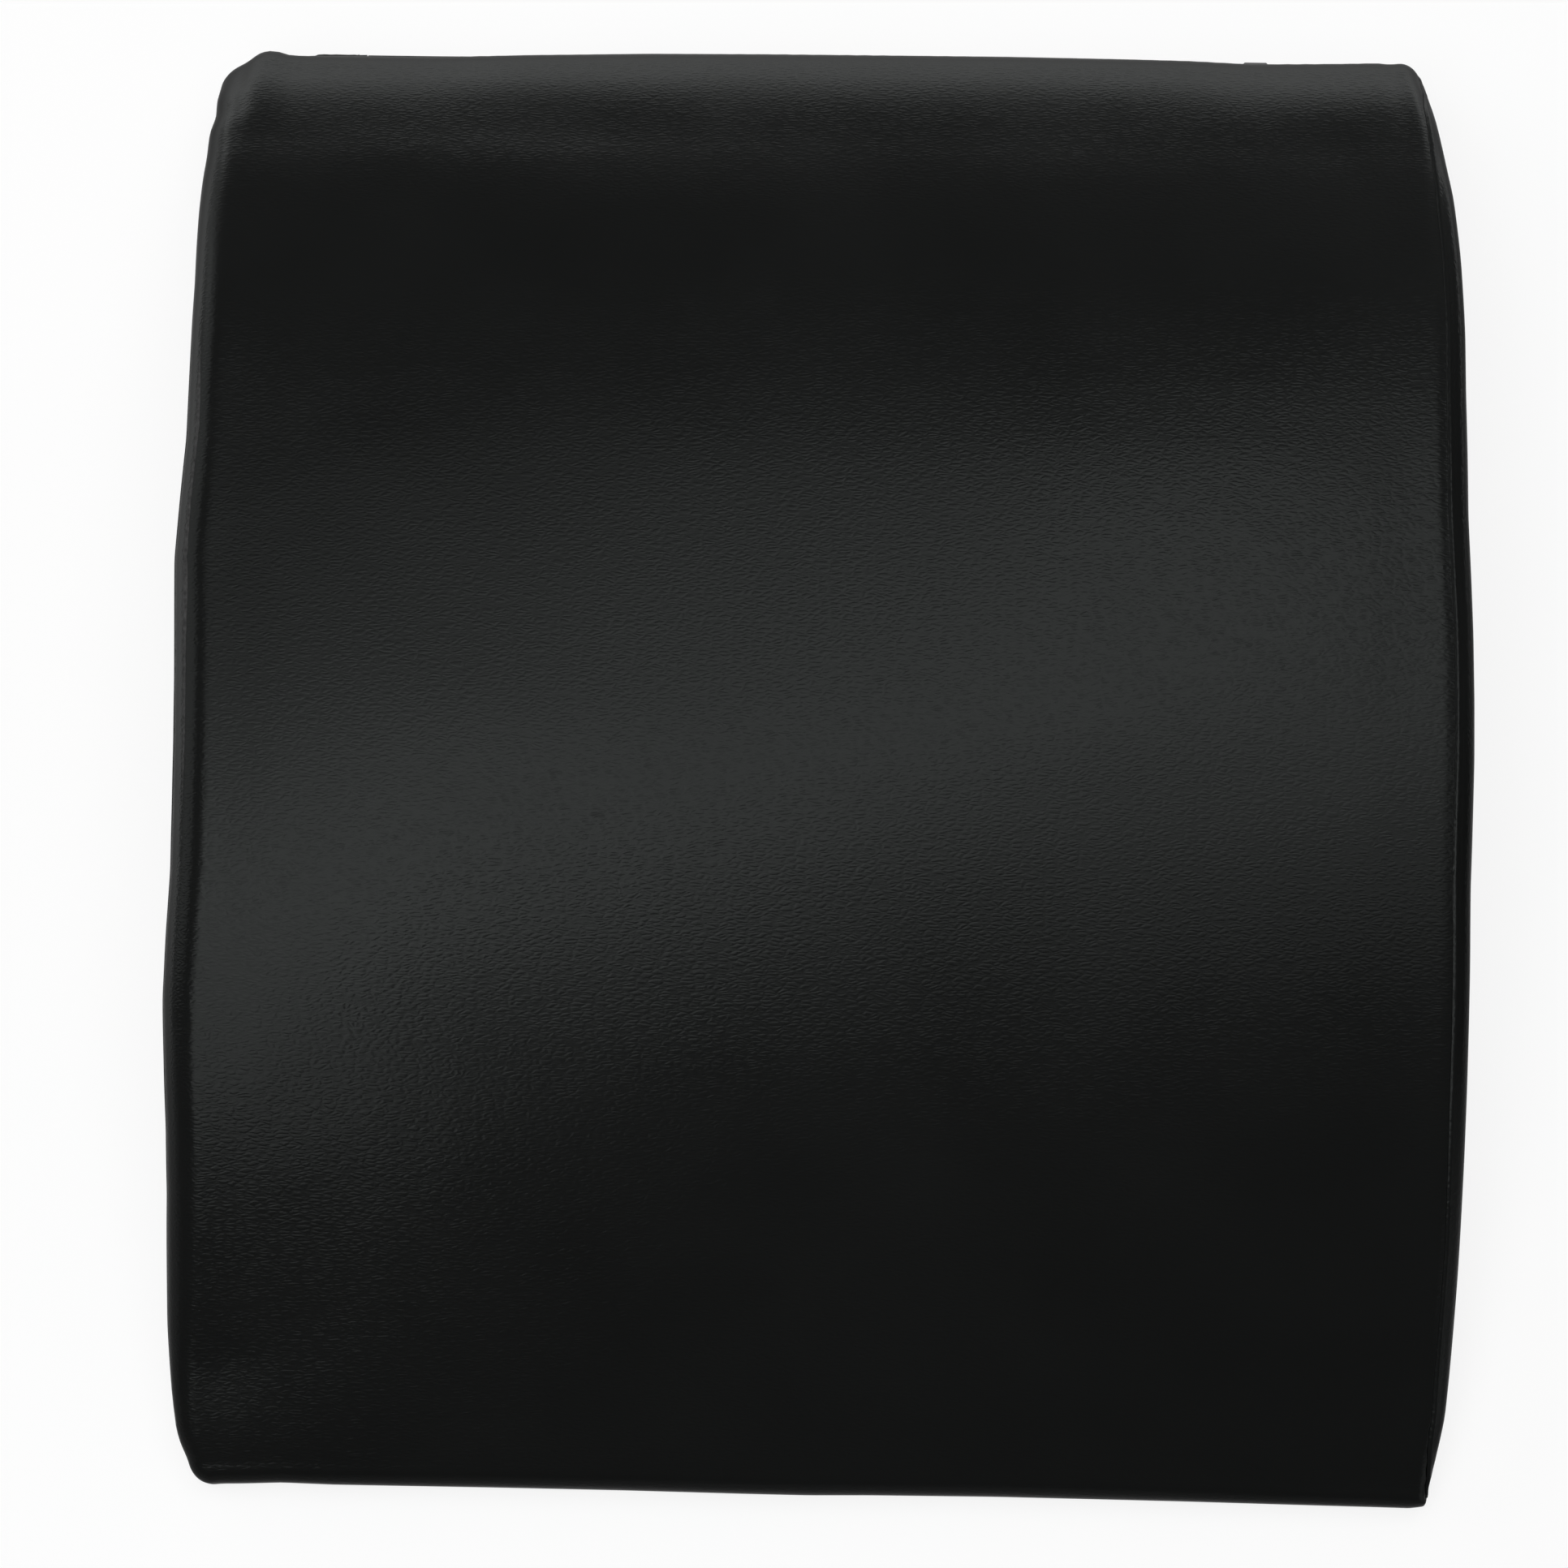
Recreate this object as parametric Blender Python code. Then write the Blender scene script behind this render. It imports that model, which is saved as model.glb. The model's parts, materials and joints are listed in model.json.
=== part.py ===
"""Ab mat: a foam hump in a sewn faux-leather cover, with a zip across the rear wall.

Metres, +Z up. The origin is the middle of the underside. X runs across the mat, the thin
front lip is at -Y and the tall rear wall at +Y.
"""

import math

import bmesh
import bpy
import numpy as np

# Sizes of the whole mat
MAT_LENGTH = 0.355
END_WIDTH = 0.3005
CREST_HEIGHT = 0.063
FRONT_LIP_HEIGHT = 0.014
REAR_WALL_HEIGHT = 0.030
SIDE_BULGE = 0.0039
SIDE_BELLY = 0.0010
TOP_CROWN = 0.0015

# Rounding of the outline
FRONT_SHOULDER_RADIUS = 0.0065
REAR_SHOULDER_RADIUS = 0.0090
EDGE_ROLL_RADIUS = 0.0060
BASE_TUCK_RADIUS = 0.0030

# Angles and proportions of the hump
FRONT_SLOPE = math.radians(25.0)
REAR_SLOPE = math.radians(36.0)
CREST_PLACE_SHARE = 0.53
FRONT_HANDLE_SHARE = 0.36
CREST_FRONT_HANDLE_SHARE = 0.42
CREST_REAR_HANDLE_SHARE = 0.50
REAR_HANDLE_SHARE = 0.30
SIDE_BULGE_POWER = 6

# Cover and core
LEATHER_THICKNESS = 0.0012
BASE_FABRIC_THICKNESS = 0.0010
PIECE_GAP = 0.0003
BASE_PANEL_INSET = 0.0008
SEAM_DIP = 0.0005
SEAM_DIP_WIDTH = 0.0012
LEFT_SEAM_TURN = math.radians(78.0)
RIGHT_SEAM_TURN = math.radians(16.0)
SHARP_EDGE_ANGLE = math.radians(45.0)
FOAM_DENT_MARGIN = 0.0020
FOAM_DENT_CLEARANCE = 0.0005

# Zip
ZIP_HEIGHT = 0.0110
ZIP_OPENING_WIDTH = 0.0110
TAPE_THICKNESS = 0.0005
TAPE_REACH = 0.0088
TAPE_END_OVERLAP = 0.0110
CHAIN_WIDTH_SHARE = 0.73
TOOTH_PITCH = 0.0030
TOOTH_THICKNESS = 0.0022
TOOTH_NECK_WIDTH = 0.00080
TOOTH_HEAD_WIDTH = 0.00120
TOOTH_TIP_WIDTH = 0.00070
TOOTH_REACH = 0.00075
TOOTH_SHOULDER = 0.00010
TOOTH_NECK_END = 0.00035
FIRST_TOOTH_SHARE = 0.25
BEAD_INNER_EDGE = 0.00110
BEAD_OUTER_EDGE = 0.00220
TOP_STOP_LENGTH = 0.0025
BOTTOM_STOP_LENGTH = 0.0040
STOP_OVERSIZE = 0.0006

# Slider and pull tab
SLIDER_LENGTH = 0.0110
SLIDER_HEAD_WIDTH = 0.0092
SLIDER_TAIL_WIDTH = 0.0074
SLIDER_PLATE_THICKNESS = 0.0011
SLIDER_CLEARANCE = 0.00035
SLIDER_SHOULDER_SHARE = 0.25
THROAT_WIDENING = 0.0018
POST_LENGTH = 0.0026
POST_WIDTH = 0.0014
POST_SETBACK = 0.0008
POST_WIDEST_SHARE = 0.65
BRIDGE_LENGTH = 0.0076
BRIDGE_WIDTH = 0.0022
BRIDGE_THICKNESS = 0.0011
BRIDGE_TAIL_OFFSET = 0.0004
TAB_BAR_THICKNESS = 0.0012
TAB_BAR_CLEARANCE = 0.0004
TAB_LENGTH = 0.0230
TAB_EYE_WIDTH = 0.0060
TAB_END_WIDTH = 0.0048
TAB_EYE_CLEARANCE = 0.0005
TAB_WAIST_PLACE = 0.0080
TAB_WAIST_WIDTH = 0.0034
TAB_GRIP_HOLE_LENGTH = 0.0050
TAB_GRIP_HOLE_WIDTH = 0.0020
TAB_GRIP_HOLE_SETBACK = 0.0028
METAL_EDGE_ROUND = 0.00025
CUTTER_OVERRUN = 0.0010

# Counts of rows and columns
WALL_ROWS = 5
TUCK_ROWS = 2
SHOULDER_ROWS = 4
FRONT_ROWS = 14
REAR_ROWS = 12
TOP_FLAT_SHARES = (0.0, 0.3, 0.6, 0.85, 1.0)
ROLL_COLUMNS = 3
FOAM_STATIONS = 34
FOAM_TOP_COLUMNS = 6
ROUND_STEPS = 4
PLAN_SIDE_STEPS = 24

# Places worked out from the sizes above
FRONT_END = -MAT_LENGTH / 2
REAR_END = MAT_LENGTH / 2
LOWER_EDGE = BASE_FABRIC_THICKNESS + PIECE_GAP
REAR_SEAM_HEIGHT = REAR_WALL_HEIGHT - REAR_SHOULDER_RADIUS
TAPE_OUTER_FACE = REAR_END - LEATHER_THICKNESS - PIECE_GAP
TAPE_MIDDLE = TAPE_OUTER_FACE - TAPE_THICKNESS / 2
TAPE_INNER_FACE = TAPE_OUTER_FACE - TAPE_THICKNESS
TOOTH_COUNT = round(END_WIDTH * CHAIN_WIDTH_SHARE / TOOTH_PITCH)
CHAIN_HALF_LENGTH = TOOTH_COUNT * TOOTH_PITCH / 2
SLIDER_GAP_HALF = TOOTH_THICKNESS / 2 + SLIDER_CLEARANCE
SLIDER_HALF_THICKNESS = SLIDER_GAP_HALF + SLIDER_PLATE_THICKNESS
SLIDER_OUTER_FACE = TAPE_MIDDLE + SLIDER_HALF_THICKNESS
POST_TAIL_END = SLIDER_LENGTH / 2 - POST_SETBACK - POST_LENGTH
SLIDER_PLACE = CHAIN_HALF_LENGTH + PIECE_GAP - POST_TAIL_END
TOP_STOP_PLACE = SLIDER_PLACE + SLIDER_LENGTH / 2 + PIECE_GAP
ZIP_OPENING_HALF_LENGTH = TOP_STOP_PLACE + TOP_STOP_LENGTH
TAPE_HALF_LENGTH = ZIP_OPENING_HALF_LENGTH + TAPE_END_OVERLAP
TAB_AXIS_RISE = TAB_BAR_CLEARANCE + TAB_BAR_THICKNESS / 2
TAB_AXIS_X = SLIDER_PLACE - BRIDGE_TAIL_OFFSET
TAB_AXIS_Y = SLIDER_OUTER_FACE + TAB_AXIS_RISE
FOAM_INSET = LEATHER_THICKNESS + SEAM_DIP + PIECE_GAP
FOAM_REAR_FACE = TAPE_INNER_FACE - PIECE_GAP
FOAM_DENT_DEPTH = FOAM_REAR_FACE - (TAPE_MIDDLE - SLIDER_HALF_THICKNESS - FOAM_DENT_CLEARANCE)


def clear_scene():
    """Removes every object that the file opened with."""
    for item in list(bpy.data.objects):
        bpy.data.objects.remove(item, do_unlink=True)


def make_material(name, colour, roughness, metallic=0.0):
    """A Principled material of one colour."""
    material = bpy.data.materials.new(name)
    material.use_nodes = True
    shader = material.node_tree.nodes["Principled BSDF"]
    shader.inputs["Base Color"].default_value = (*colour, 1.0)
    shader.inputs["Roughness"].default_value = roughness
    shader.inputs["Metallic"].default_value = metallic
    return material


def add_object(name, mesh, material):
    """Links a mesh to the scene as an object of that name."""
    mesh.materials.append(material)
    item = bpy.data.objects.new(name, mesh)
    bpy.context.scene.collection.objects.link(item)
    return item


def add_mesh(name, points, faces, material):
    """An object from a list of points and faces, with faces turned outwards."""
    mesh = bpy.data.meshes.new(name)
    mesh.from_pydata([tuple(map(float, point)) for point in points], [], faces)
    mesh.validate()
    mesh.update()
    return add_object(name, mesh, material)


def smooth(item):
    """Shades an object smooth, but for its sharp edges."""
    item.data.shade_smooth()
    item.data.set_sharp_from_angle(angle=SHARP_EDGE_ANGLE)


def thicken(item, thickness):
    """Gives a sheet its thickness, inwards from the modelled face."""
    solid = item.modifiers.new("thickness", "SOLIDIFY")
    solid.thickness = thickness
    solid.offset = -1.0
    solid.use_even_offset = True
    solid.use_quality_normals = True


def round_edges(item, width):
    """Rounds every sharp edge."""
    bevel = item.modifiers.new("rounding", "BEVEL")
    bevel.width = width
    bevel.segments = 1
    bevel.limit_method = "ANGLE"
    bevel.angle_limit = SHARP_EDGE_ANGLE


def combine(item, cutter, operation):
    """Adds or subtracts a hidden helper solid."""
    cutter.hide_render = True
    cutter.display_type = "WIRE"
    boolean = item.modifiers.new(operation.lower(), "BOOLEAN")
    boolean.operation = operation
    boolean.solver = "EXACT"
    boolean.object = cutter


def extrude_outline(name, outline, low, high, axis, material):
    """A prism over a closed outline, from low to high along Y or Z.

    Along Z the outline is in (x, y), anticlockwise seen from +Z. Along Y it is in (x, z),
    anticlockwise seen from -Y.
    """
    mesh = bpy.data.meshes.new(name)
    shape = bmesh.new()
    if axis == "Z":
        corners = [shape.verts.new((u, v, low)) for u, v in outline]
        travel = (0.0, 0.0, high - low)
    else:
        corners = [shape.verts.new((u, low, v)) for u, v in outline]
        travel = (0.0, high - low, 0.0)
    face = shape.faces.new(corners)
    grown = bmesh.ops.extrude_face_region(shape, geom=[face])
    moved = [part for part in grown["geom"] if isinstance(part, bmesh.types.BMVert)]
    bmesh.ops.translate(shape, verts=moved, vec=travel)
    bmesh.ops.recalc_face_normals(shape, faces=shape.faces)
    shape.to_mesh(mesh)
    shape.free()
    return add_object(name, mesh, material)


def make_box(name, low, high, material):
    """A box between two corners."""
    outline = [(low[0], low[2]), (high[0], low[2]), (high[0], high[2]), (low[0], high[2])]
    return extrude_outline(name, outline, low[1], high[1], "Y", material)


def spine(places, normals):
    """The y of the line that the rolled side edge turns about, for each row of the outline."""
    return places[:, 0] - EDGE_ROLL_RADIUS * normals[:, 0]


def half_width(spine_y):
    """Half the cover's width: least at the two ends, and swelling between them."""
    reach = MAT_LENGTH / 2 - EDGE_ROLL_RADIUS
    swell = 1.0 - np.minimum(np.abs(spine_y) / reach, 1.0) ** SIDE_BULGE_POWER
    return END_WIDTH / 2 + SIDE_BULGE * swell


def base_tuck(height):
    """How far the cover draws in near the floor, along a quarter round."""
    short = np.clip(BASE_TUCK_RADIUS - height, 0.0, BASE_TUCK_RADIUS)
    return BASE_TUCK_RADIUS - np.sqrt(BASE_TUCK_RADIUS**2 - short**2)


def arc(centre, radius, start, end, steps):
    """Places and normals along an arc, by the angle of its normal from +Y towards +Z."""
    angles = np.linspace(start, end, steps + 1)
    normals = np.stack((np.cos(angles), np.sin(angles)), axis=1)
    return centre + radius * normals, normals


def bezier(start, start_pull, end_pull, end, steps):
    """Places and normals along a cubic curve between two points with two handles."""
    t = np.linspace(0.0, 1.0, steps + 1)[:, None]
    s = 1.0 - t
    places = s**3 * start + 3 * s**2 * t * start_pull + 3 * s * t**2 * end_pull + t**3 * end
    runs = s**2 * (start_pull - start) + 2 * s * t * (end_pull - start_pull) + t**2 * (end - end_pull)
    runs /= np.linalg.norm(runs, axis=1, keepdims=True)
    return places, np.stack((-runs[:, 1], runs[:, 0]), axis=1)


def wall_heights(top):
    """Heights of the rows up a wall: closer together over the tuck at the floor."""
    tuck = np.linspace(LOWER_EDGE, BASE_TUCK_RADIUS, TUCK_ROWS + 1)
    return np.concatenate((tuck, np.linspace(BASE_TUCK_RADIUS, top, WALL_ROWS - TUCK_ROWS + 1)[1:]))


def wall_rows(y, facing, heights):
    """Rows of an end wall at the given heights."""
    places = np.stack((np.full_like(heights, y), heights), axis=1)
    normals = np.zeros_like(places)
    normals[:, 0] = facing
    return places, normals


def side_outline():
    """The mat's outline seen from the side, from the front base edge to the rear one.

    Up the front lip, round its shoulder, over the hump in two curves that meet level at the
    crest, round the rear shoulder and down the rear wall.
    """
    front_centre = np.array((FRONT_END + FRONT_SHOULDER_RADIUS, FRONT_LIP_HEIGHT - FRONT_SHOULDER_RADIUS))
    rear_centre = np.array((REAR_END - REAR_SHOULDER_RADIUS, REAR_SEAM_HEIGHT))
    crest = np.array((FRONT_END + MAT_LENGTH * CREST_PLACE_SHARE, CREST_HEIGHT))
    front_arc = arc(front_centre, FRONT_SHOULDER_RADIUS, math.pi, math.pi / 2 + FRONT_SLOPE, SHOULDER_ROWS)
    rear_arc = arc(rear_centre, REAR_SHOULDER_RADIUS, math.pi / 2 - REAR_SLOPE, 0.0, SHOULDER_ROWS)
    front_foot = front_arc[0][-1]
    rear_foot = rear_arc[0][0]
    front_run = crest[0] - front_foot[0]
    rear_run = rear_foot[0] - crest[0]
    uphill = np.array((math.cos(FRONT_SLOPE), math.sin(FRONT_SLOPE)))
    downhill = np.array((math.cos(REAR_SLOPE), -math.sin(REAR_SLOPE)))
    level = np.array((1.0, 0.0))
    front_curve = bezier(
        front_foot,
        front_foot + uphill * front_run * FRONT_HANDLE_SHARE,
        crest - level * front_run * CREST_FRONT_HANDLE_SHARE,
        crest,
        FRONT_ROWS,
    )
    rear_curve = bezier(
        crest,
        crest + level * rear_run * CREST_REAR_HANDLE_SHARE,
        rear_foot - downhill * rear_run * REAR_HANDLE_SHARE,
        rear_foot,
        REAR_ROWS,
    )
    front_wall = wall_rows(FRONT_END, -1.0, wall_heights(front_centre[1]))
    rear_wall = wall_rows(REAR_END, 1.0, wall_heights(REAR_SEAM_HEIGHT)[::-1])
    stretches = (front_wall, front_arc, front_curve, rear_curve, rear_arc, rear_wall)
    places = np.concatenate([stretches[0][0]] + [stretch[0][1:] for stretch in stretches[1:]])
    normals = np.concatenate([stretches[0][1]] + [stretch[1][1:] for stretch in stretches[1:]])
    return places, normals


def skin_column(places, normals, share, turn, seam_turn):
    """One column of points down the length of the cover's skin.

    share runs from -1 to 1 over the flat of the panel. turn is how far the rolled edge has
    turned down there, signed like share. The skin dips a little beside the seam.
    """
    half = half_width(spine(places, normals))
    flat = half - EDGE_ROLL_RADIUS
    x = share * flat + EDGE_ROLL_RADIUS * math.sin(turn)
    drop = TOP_CROWN * share**2 * normals[:, 1] ** 2 + EDGE_ROLL_RADIUS * (1.0 - math.cos(turn))
    from_seam = EDGE_ROLL_RADIUS * abs(abs(turn) - seam_turn) + (1.0 - abs(share)) * flat
    dip = SEAM_DIP * np.exp(-((from_seam / SEAM_DIP_WIDTH) ** 2))
    inward = dip + base_tuck(places[:, 1])
    x = x - inward * math.sin(turn)
    back = drop + inward * math.cos(turn)
    return np.stack((x, places[:, 0] - back * normals[:, 0], places[:, 1] - back * normals[:, 1]), axis=1)


def grid_faces(rows, columns):
    """Quads of a grid that is stored row by row."""
    faces = []
    for row in range(rows - 1):
        for column in range(columns - 1):
            corner = row * columns + column
            faces.append((corner, corner + 1, corner + columns + 1, corner + columns))
    return faces


def skin_sheet(name, places, normals, stations, material):
    """A leather sheet through columns given as (share, turn, seam turn)."""
    columns = [skin_column(places, normals, *station) for station in stations]
    points = np.stack(columns, axis=1).reshape(-1, 3)
    item = add_mesh(name, points, grid_faces(len(places), len(columns)), material)
    thicken(item, LEATHER_THICKNESS)
    smooth(item)
    return item


def roll_stations(side, seam_turn):
    """Columns over one rolled edge, from the flat of the panel out to the seam."""
    turns = np.linspace(0.0, seam_turn, ROLL_COLUMNS + 1)[1:]
    return [(side, side * turn, seam_turn) for turn in turns]


def make_top_panel(leather):
    """The sheet from the foot of the front lip over the hump to the rear seam."""
    places, normals = side_outline()
    places = places[: len(places) - WALL_ROWS]
    normals = normals[: len(normals) - WALL_ROWS]
    flat = [(share, 0.0, RIGHT_SEAM_TURN) for share in TOP_FLAT_SHARES]
    mirrored = [(-share, 0.0, LEFT_SEAM_TURN) for share in TOP_FLAT_SHARES[:0:-1]]
    left_roll = roll_stations(-1.0, LEFT_SEAM_TURN)[::-1]
    right_roll = roll_stations(1.0, RIGHT_SEAM_TURN)
    skin_sheet("top_panel", places, normals, left_roll + mirrored + flat + right_roll, leather)


def make_side_panel(name, side, seam_turn, leather):
    """The D-shaped side: a band round the rolled edge, and a bellied wall down to the floor.

    The band follows the whole side outline. The wall hangs from the band's inner edge in
    columns, and its first and last columns are the band's own points on the two end walls.
    """
    places, normals = side_outline()
    first = seam_turn + PIECE_GAP / EDGE_ROLL_RADIUS
    turns = np.linspace(first, math.pi / 2, ROLL_COLUMNS + 1)
    band = [skin_column(places, normals, side, side * turn, seam_turn) for turn in turns]
    points = list(np.stack(band, axis=1).reshape(-1, 3))
    faces = grid_faces(len(places), len(band))
    spines = spine(places, normals)
    halves = half_width(spines)
    front = WALL_ROWS
    rear = len(places) - 1 - WALL_ROWS
    columns = []
    for row in range(front, rear + 1):
        top = places[row, 1] - EDGE_ROLL_RADIUS * normals[row, 1]
        swell = SIDE_BELLY * math.cos(math.pi * spines[row] / (MAT_LENGTH - 2 * EDGE_ROLL_RADIUS))
        column = [row * len(band) + len(band) - 1]
        for level, height in enumerate(wall_heights(top)[-2::-1], start=1):
            if row in (front, rear):
                shared = row - level if row == front else row + level
                column.append(shared * len(band) + len(band) - 1)
                continue
            bow = math.sin(math.pi * (height - LOWER_EDGE) / (top - LOWER_EDGE))
            x = halves[row] + swell * bow - base_tuck(height)
            column.append(len(points))
            points.append((side * x, spines[row], height))
        columns.append(column)
    for near, far in zip(columns, columns[1:]):
        for level in range(WALL_ROWS):
            faces.append((near[level], near[level + 1], far[level + 1], far[level]))
    if side < 0:
        faces = [face[::-1] for face in faces]
    item = add_mesh(name, points, faces, leather)
    thicken(item, LEATHER_THICKNESS)
    smooth(item)


def plan_outline(inset):
    """The mat's outline seen from above, drawn in by an inset, anticlockwise from the front."""
    reach = MAT_LENGTH / 2 - EDGE_ROLL_RADIUS
    radius = EDGE_ROLL_RADIUS - inset
    corner_x = END_WIDTH / 2 - EDGE_ROLL_RADIUS
    right = []
    for step in range(ROUND_STEPS + 1):
        angle = math.pi / 2 * step / ROUND_STEPS
        right.append((corner_x + radius * math.sin(angle), -reach - radius * math.cos(angle)))
    for step in range(1, PLAN_SIDE_STEPS):
        y = -reach + 2 * reach * step / PLAN_SIDE_STEPS
        right.append((float(half_width(y)) - inset, y))
    for step in range(ROUND_STEPS + 1):
        angle = math.pi / 2 * step / ROUND_STEPS
        right.append((corner_x + radius * math.cos(angle), reach + radius * math.sin(angle)))
    return right + [(-x, y) for x, y in reversed(right)]


def make_base_panel(fabric):
    """The non-slip underside, flat on the floor."""
    outline = plan_outline(BASE_PANEL_INSET)
    item = extrude_outline("base_panel", outline, 0.0, BASE_FABRIC_THICKNESS, "Z", fabric)
    smooth(item)


def foam_ring(y, outline, spine_line, crown_share):
    """One cross-section of the foam: flat below, rolled at its top edges, crowned on top."""
    end_gap = min(y - (FRONT_END + FOAM_INSET), FOAM_REAR_FACE - y)
    radius = EDGE_ROLL_RADIUS - FOAM_INSET
    short = max(radius - end_gap, 0.0)
    corner = radius - math.sqrt(max(radius**2 - short**2, 0.0))
    reach = MAT_LENGTH / 2 - EDGE_ROLL_RADIUS
    half = float(half_width(np.clip(y, -reach, reach))) - FOAM_INSET - corner
    top = np.interp(y, *outline)
    middle = np.interp(y, *spine_line)
    crown = TOP_CROWN * np.interp(y, *crown_share)
    right = [(half, LOWER_EDGE), (half, (LOWER_EDGE + middle) / 2)]
    for step in range(ROUND_STEPS + 1):
        turn = math.pi / 2 * (1.0 - step / ROUND_STEPS)
        rise = (top - crown - middle) * math.cos(turn)
        right.append((half - radius + radius * math.sin(turn), middle + rise))
    shares = np.linspace(1.0, -1.0, FOAM_TOP_COLUMNS + 1)[1:-1]
    across = [(share * (half - radius), top - crown * share**2) for share in shares]
    ring = right + across + [(-x, z) for x, z in reversed(right)]
    return [(x, y, z) for x, z in ring]


def make_foam_core(foam):
    """The foam hump, lofted through cross-sections, with the dent that the zip presses in it."""
    places, normals = side_outline()
    hump = slice(WALL_ROWS, len(places) - WALL_ROWS)
    inner = (places - FOAM_INSET * normals)[hump]
    rolled = (places - EDGE_ROLL_RADIUS * normals)[hump]
    outline = (inner[:, 0], inner[:, 1])
    spine_line = (rolled[:, 0], rolled[:, 1])
    crown_share = (inner[:, 0], normals[hump, 1])
    front = FRONT_END + FOAM_INSET
    steps = np.linspace(0.0, math.pi, FOAM_STATIONS)
    stations = front + (FOAM_REAR_FACE - front) * (1.0 - np.cos(steps)) / 2
    shape = bmesh.new()
    rings = []
    for y in stations:
        ring = foam_ring(float(y), outline, spine_line, crown_share)
        rings.append([shape.verts.new(point) for point in ring])
    for near, far in zip(rings, rings[1:]):
        for index in range(len(near)):
            after = (index + 1) % len(near)
            shape.faces.new((near[index], near[after], far[after], far[index]))
    shape.faces.new(rings[0])
    rear = shape.faces.new(rings[-1])
    bmesh.ops.recalc_face_normals(shape, faces=shape.faces)
    bmesh.ops.inset_region(shape, faces=[rear], thickness=FOAM_DENT_MARGIN, depth=-FOAM_DENT_DEPTH)
    mesh = bpy.data.meshes.new("foam_core")
    shape.to_mesh(mesh)
    shape.free()
    smooth(add_object("foam_core", mesh, foam))


def make_rear_wall(leather):
    """The rear wall: a strip above and below the zip, and an end panel beyond each end of it."""
    flat_half = END_WIDTH / 2 - EDGE_ROLL_RADIUS
    opening = ZIP_OPENING_HALF_LENGTH / flat_half
    strip_stations = [(share * opening, 0.0, RIGHT_SEAM_TURN) for share in (-1.0, 0.0, 1.0)]
    upper_edge = REAR_SEAM_HEIGHT - PIECE_GAP
    heights = {
        "rear_strip_upper": np.linspace(upper_edge, ZIP_HEIGHT + ZIP_OPENING_WIDTH / 2, WALL_ROWS + 1),
        "rear_strip_lower": wall_heights(ZIP_HEIGHT - ZIP_OPENING_WIDTH / 2)[::-1],
    }
    for name, rows in heights.items():
        skin_sheet(name, *wall_rows(REAR_END, 1.0, rows), strip_stations, leather)
    start = (ZIP_OPENING_HALF_LENGTH + PIECE_GAP) / flat_half
    places, normals = wall_rows(REAR_END, 1.0, wall_heights(upper_edge)[::-1])
    for name, side, seam_turn in (
        ("rear_end_panel_left", -1.0, LEFT_SEAM_TURN),
        ("rear_end_panel_right", 1.0, RIGHT_SEAM_TURN),
    ):
        flat = [(side * share, 0.0, seam_turn) for share in (start, 1.0)]
        stations = flat + roll_stations(side, seam_turn)
        skin_sheet(name, places, normals, stations[:: int(side)], leather)


def make_tape(name, side, tape):
    """One woven tape of the zip, from just behind its teeth to its edge behind the strip."""
    edges = sorted((ZIP_HEIGHT + side * (BEAD_OUTER_EDGE + PIECE_GAP), ZIP_HEIGHT + side * TAPE_REACH))
    low = (-TAPE_HALF_LENGTH, TAPE_INNER_FACE, edges[0])
    high = (TAPE_HALF_LENGTH, TAPE_OUTER_FACE, edges[1])
    make_box(name, low, high, tape)


def make_teeth(name, side, offset_share, plastic):
    """One row of moulded teeth on its bead.

    Each tooth has a narrow neck, a wide head past the middle line and a tapered tip, so that
    the heads of one row sit between the necks of the other. The rows are half a pitch apart.
    """
    half_tooth = (
        (TOOTH_NECK_WIDTH / 2, BEAD_INNER_EDGE),
        (TOOTH_NECK_WIDTH / 2, TOOTH_NECK_END),
        (TOOTH_HEAD_WIDTH / 2, -TOOTH_SHOULDER),
        (TOOTH_TIP_WIDTH / 2, -TOOTH_REACH),
    )
    edge = [(-CHAIN_HALF_LENGTH, BEAD_INNER_EDGE)]
    for tooth in range(TOOTH_COUNT):
        middle = -CHAIN_HALF_LENGTH + (tooth + offset_share) * TOOTH_PITCH
        edge += [(middle - half, reach) for half, reach in half_tooth]
        edge += [(middle + half, reach) for half, reach in reversed(half_tooth)]
    edge.append((CHAIN_HALF_LENGTH, BEAD_INNER_EDGE))
    back = [(CHAIN_HALF_LENGTH, BEAD_OUTER_EDGE), (-CHAIN_HALF_LENGTH, BEAD_OUTER_EDGE)]
    outline = [(x, ZIP_HEIGHT + side * reach) for x, reach in edge + back]
    low = TAPE_MIDDLE - TOOTH_THICKNESS / 2
    extrude_outline(name, outline, low, low + TOOTH_THICKNESS, "Y", plastic)


def make_stops(plastic):
    """A stop at the closed end of each tape, and one across both at the other end."""
    half = SLIDER_GAP_HALF + STOP_OVERSIZE / 2
    low_y, high_y = TAPE_MIDDLE - half, TAPE_MIDDLE + half
    for name, side in (("zip_top_stop_upper", 1.0), ("zip_top_stop_lower", -1.0)):
        edges = sorted((ZIP_HEIGHT + side * PIECE_GAP, ZIP_HEIGHT + side * BEAD_OUTER_EDGE))
        low = (TOP_STOP_PLACE, low_y, edges[0])
        high = (TOP_STOP_PLACE + TOP_STOP_LENGTH, high_y, edges[1])
        round_edges(make_box(name, low, high, plastic), METAL_EDGE_ROUND)
    end = -CHAIN_HALF_LENGTH - PIECE_GAP
    low = (end - BOTTOM_STOP_LENGTH, low_y, ZIP_HEIGHT - BEAD_OUTER_EDGE)
    high = (end, high_y, ZIP_HEIGHT + BEAD_OUTER_EDGE)
    round_edges(make_box("zip_bottom_stop", low, high, plastic), METAL_EDGE_ROUND)


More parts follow.
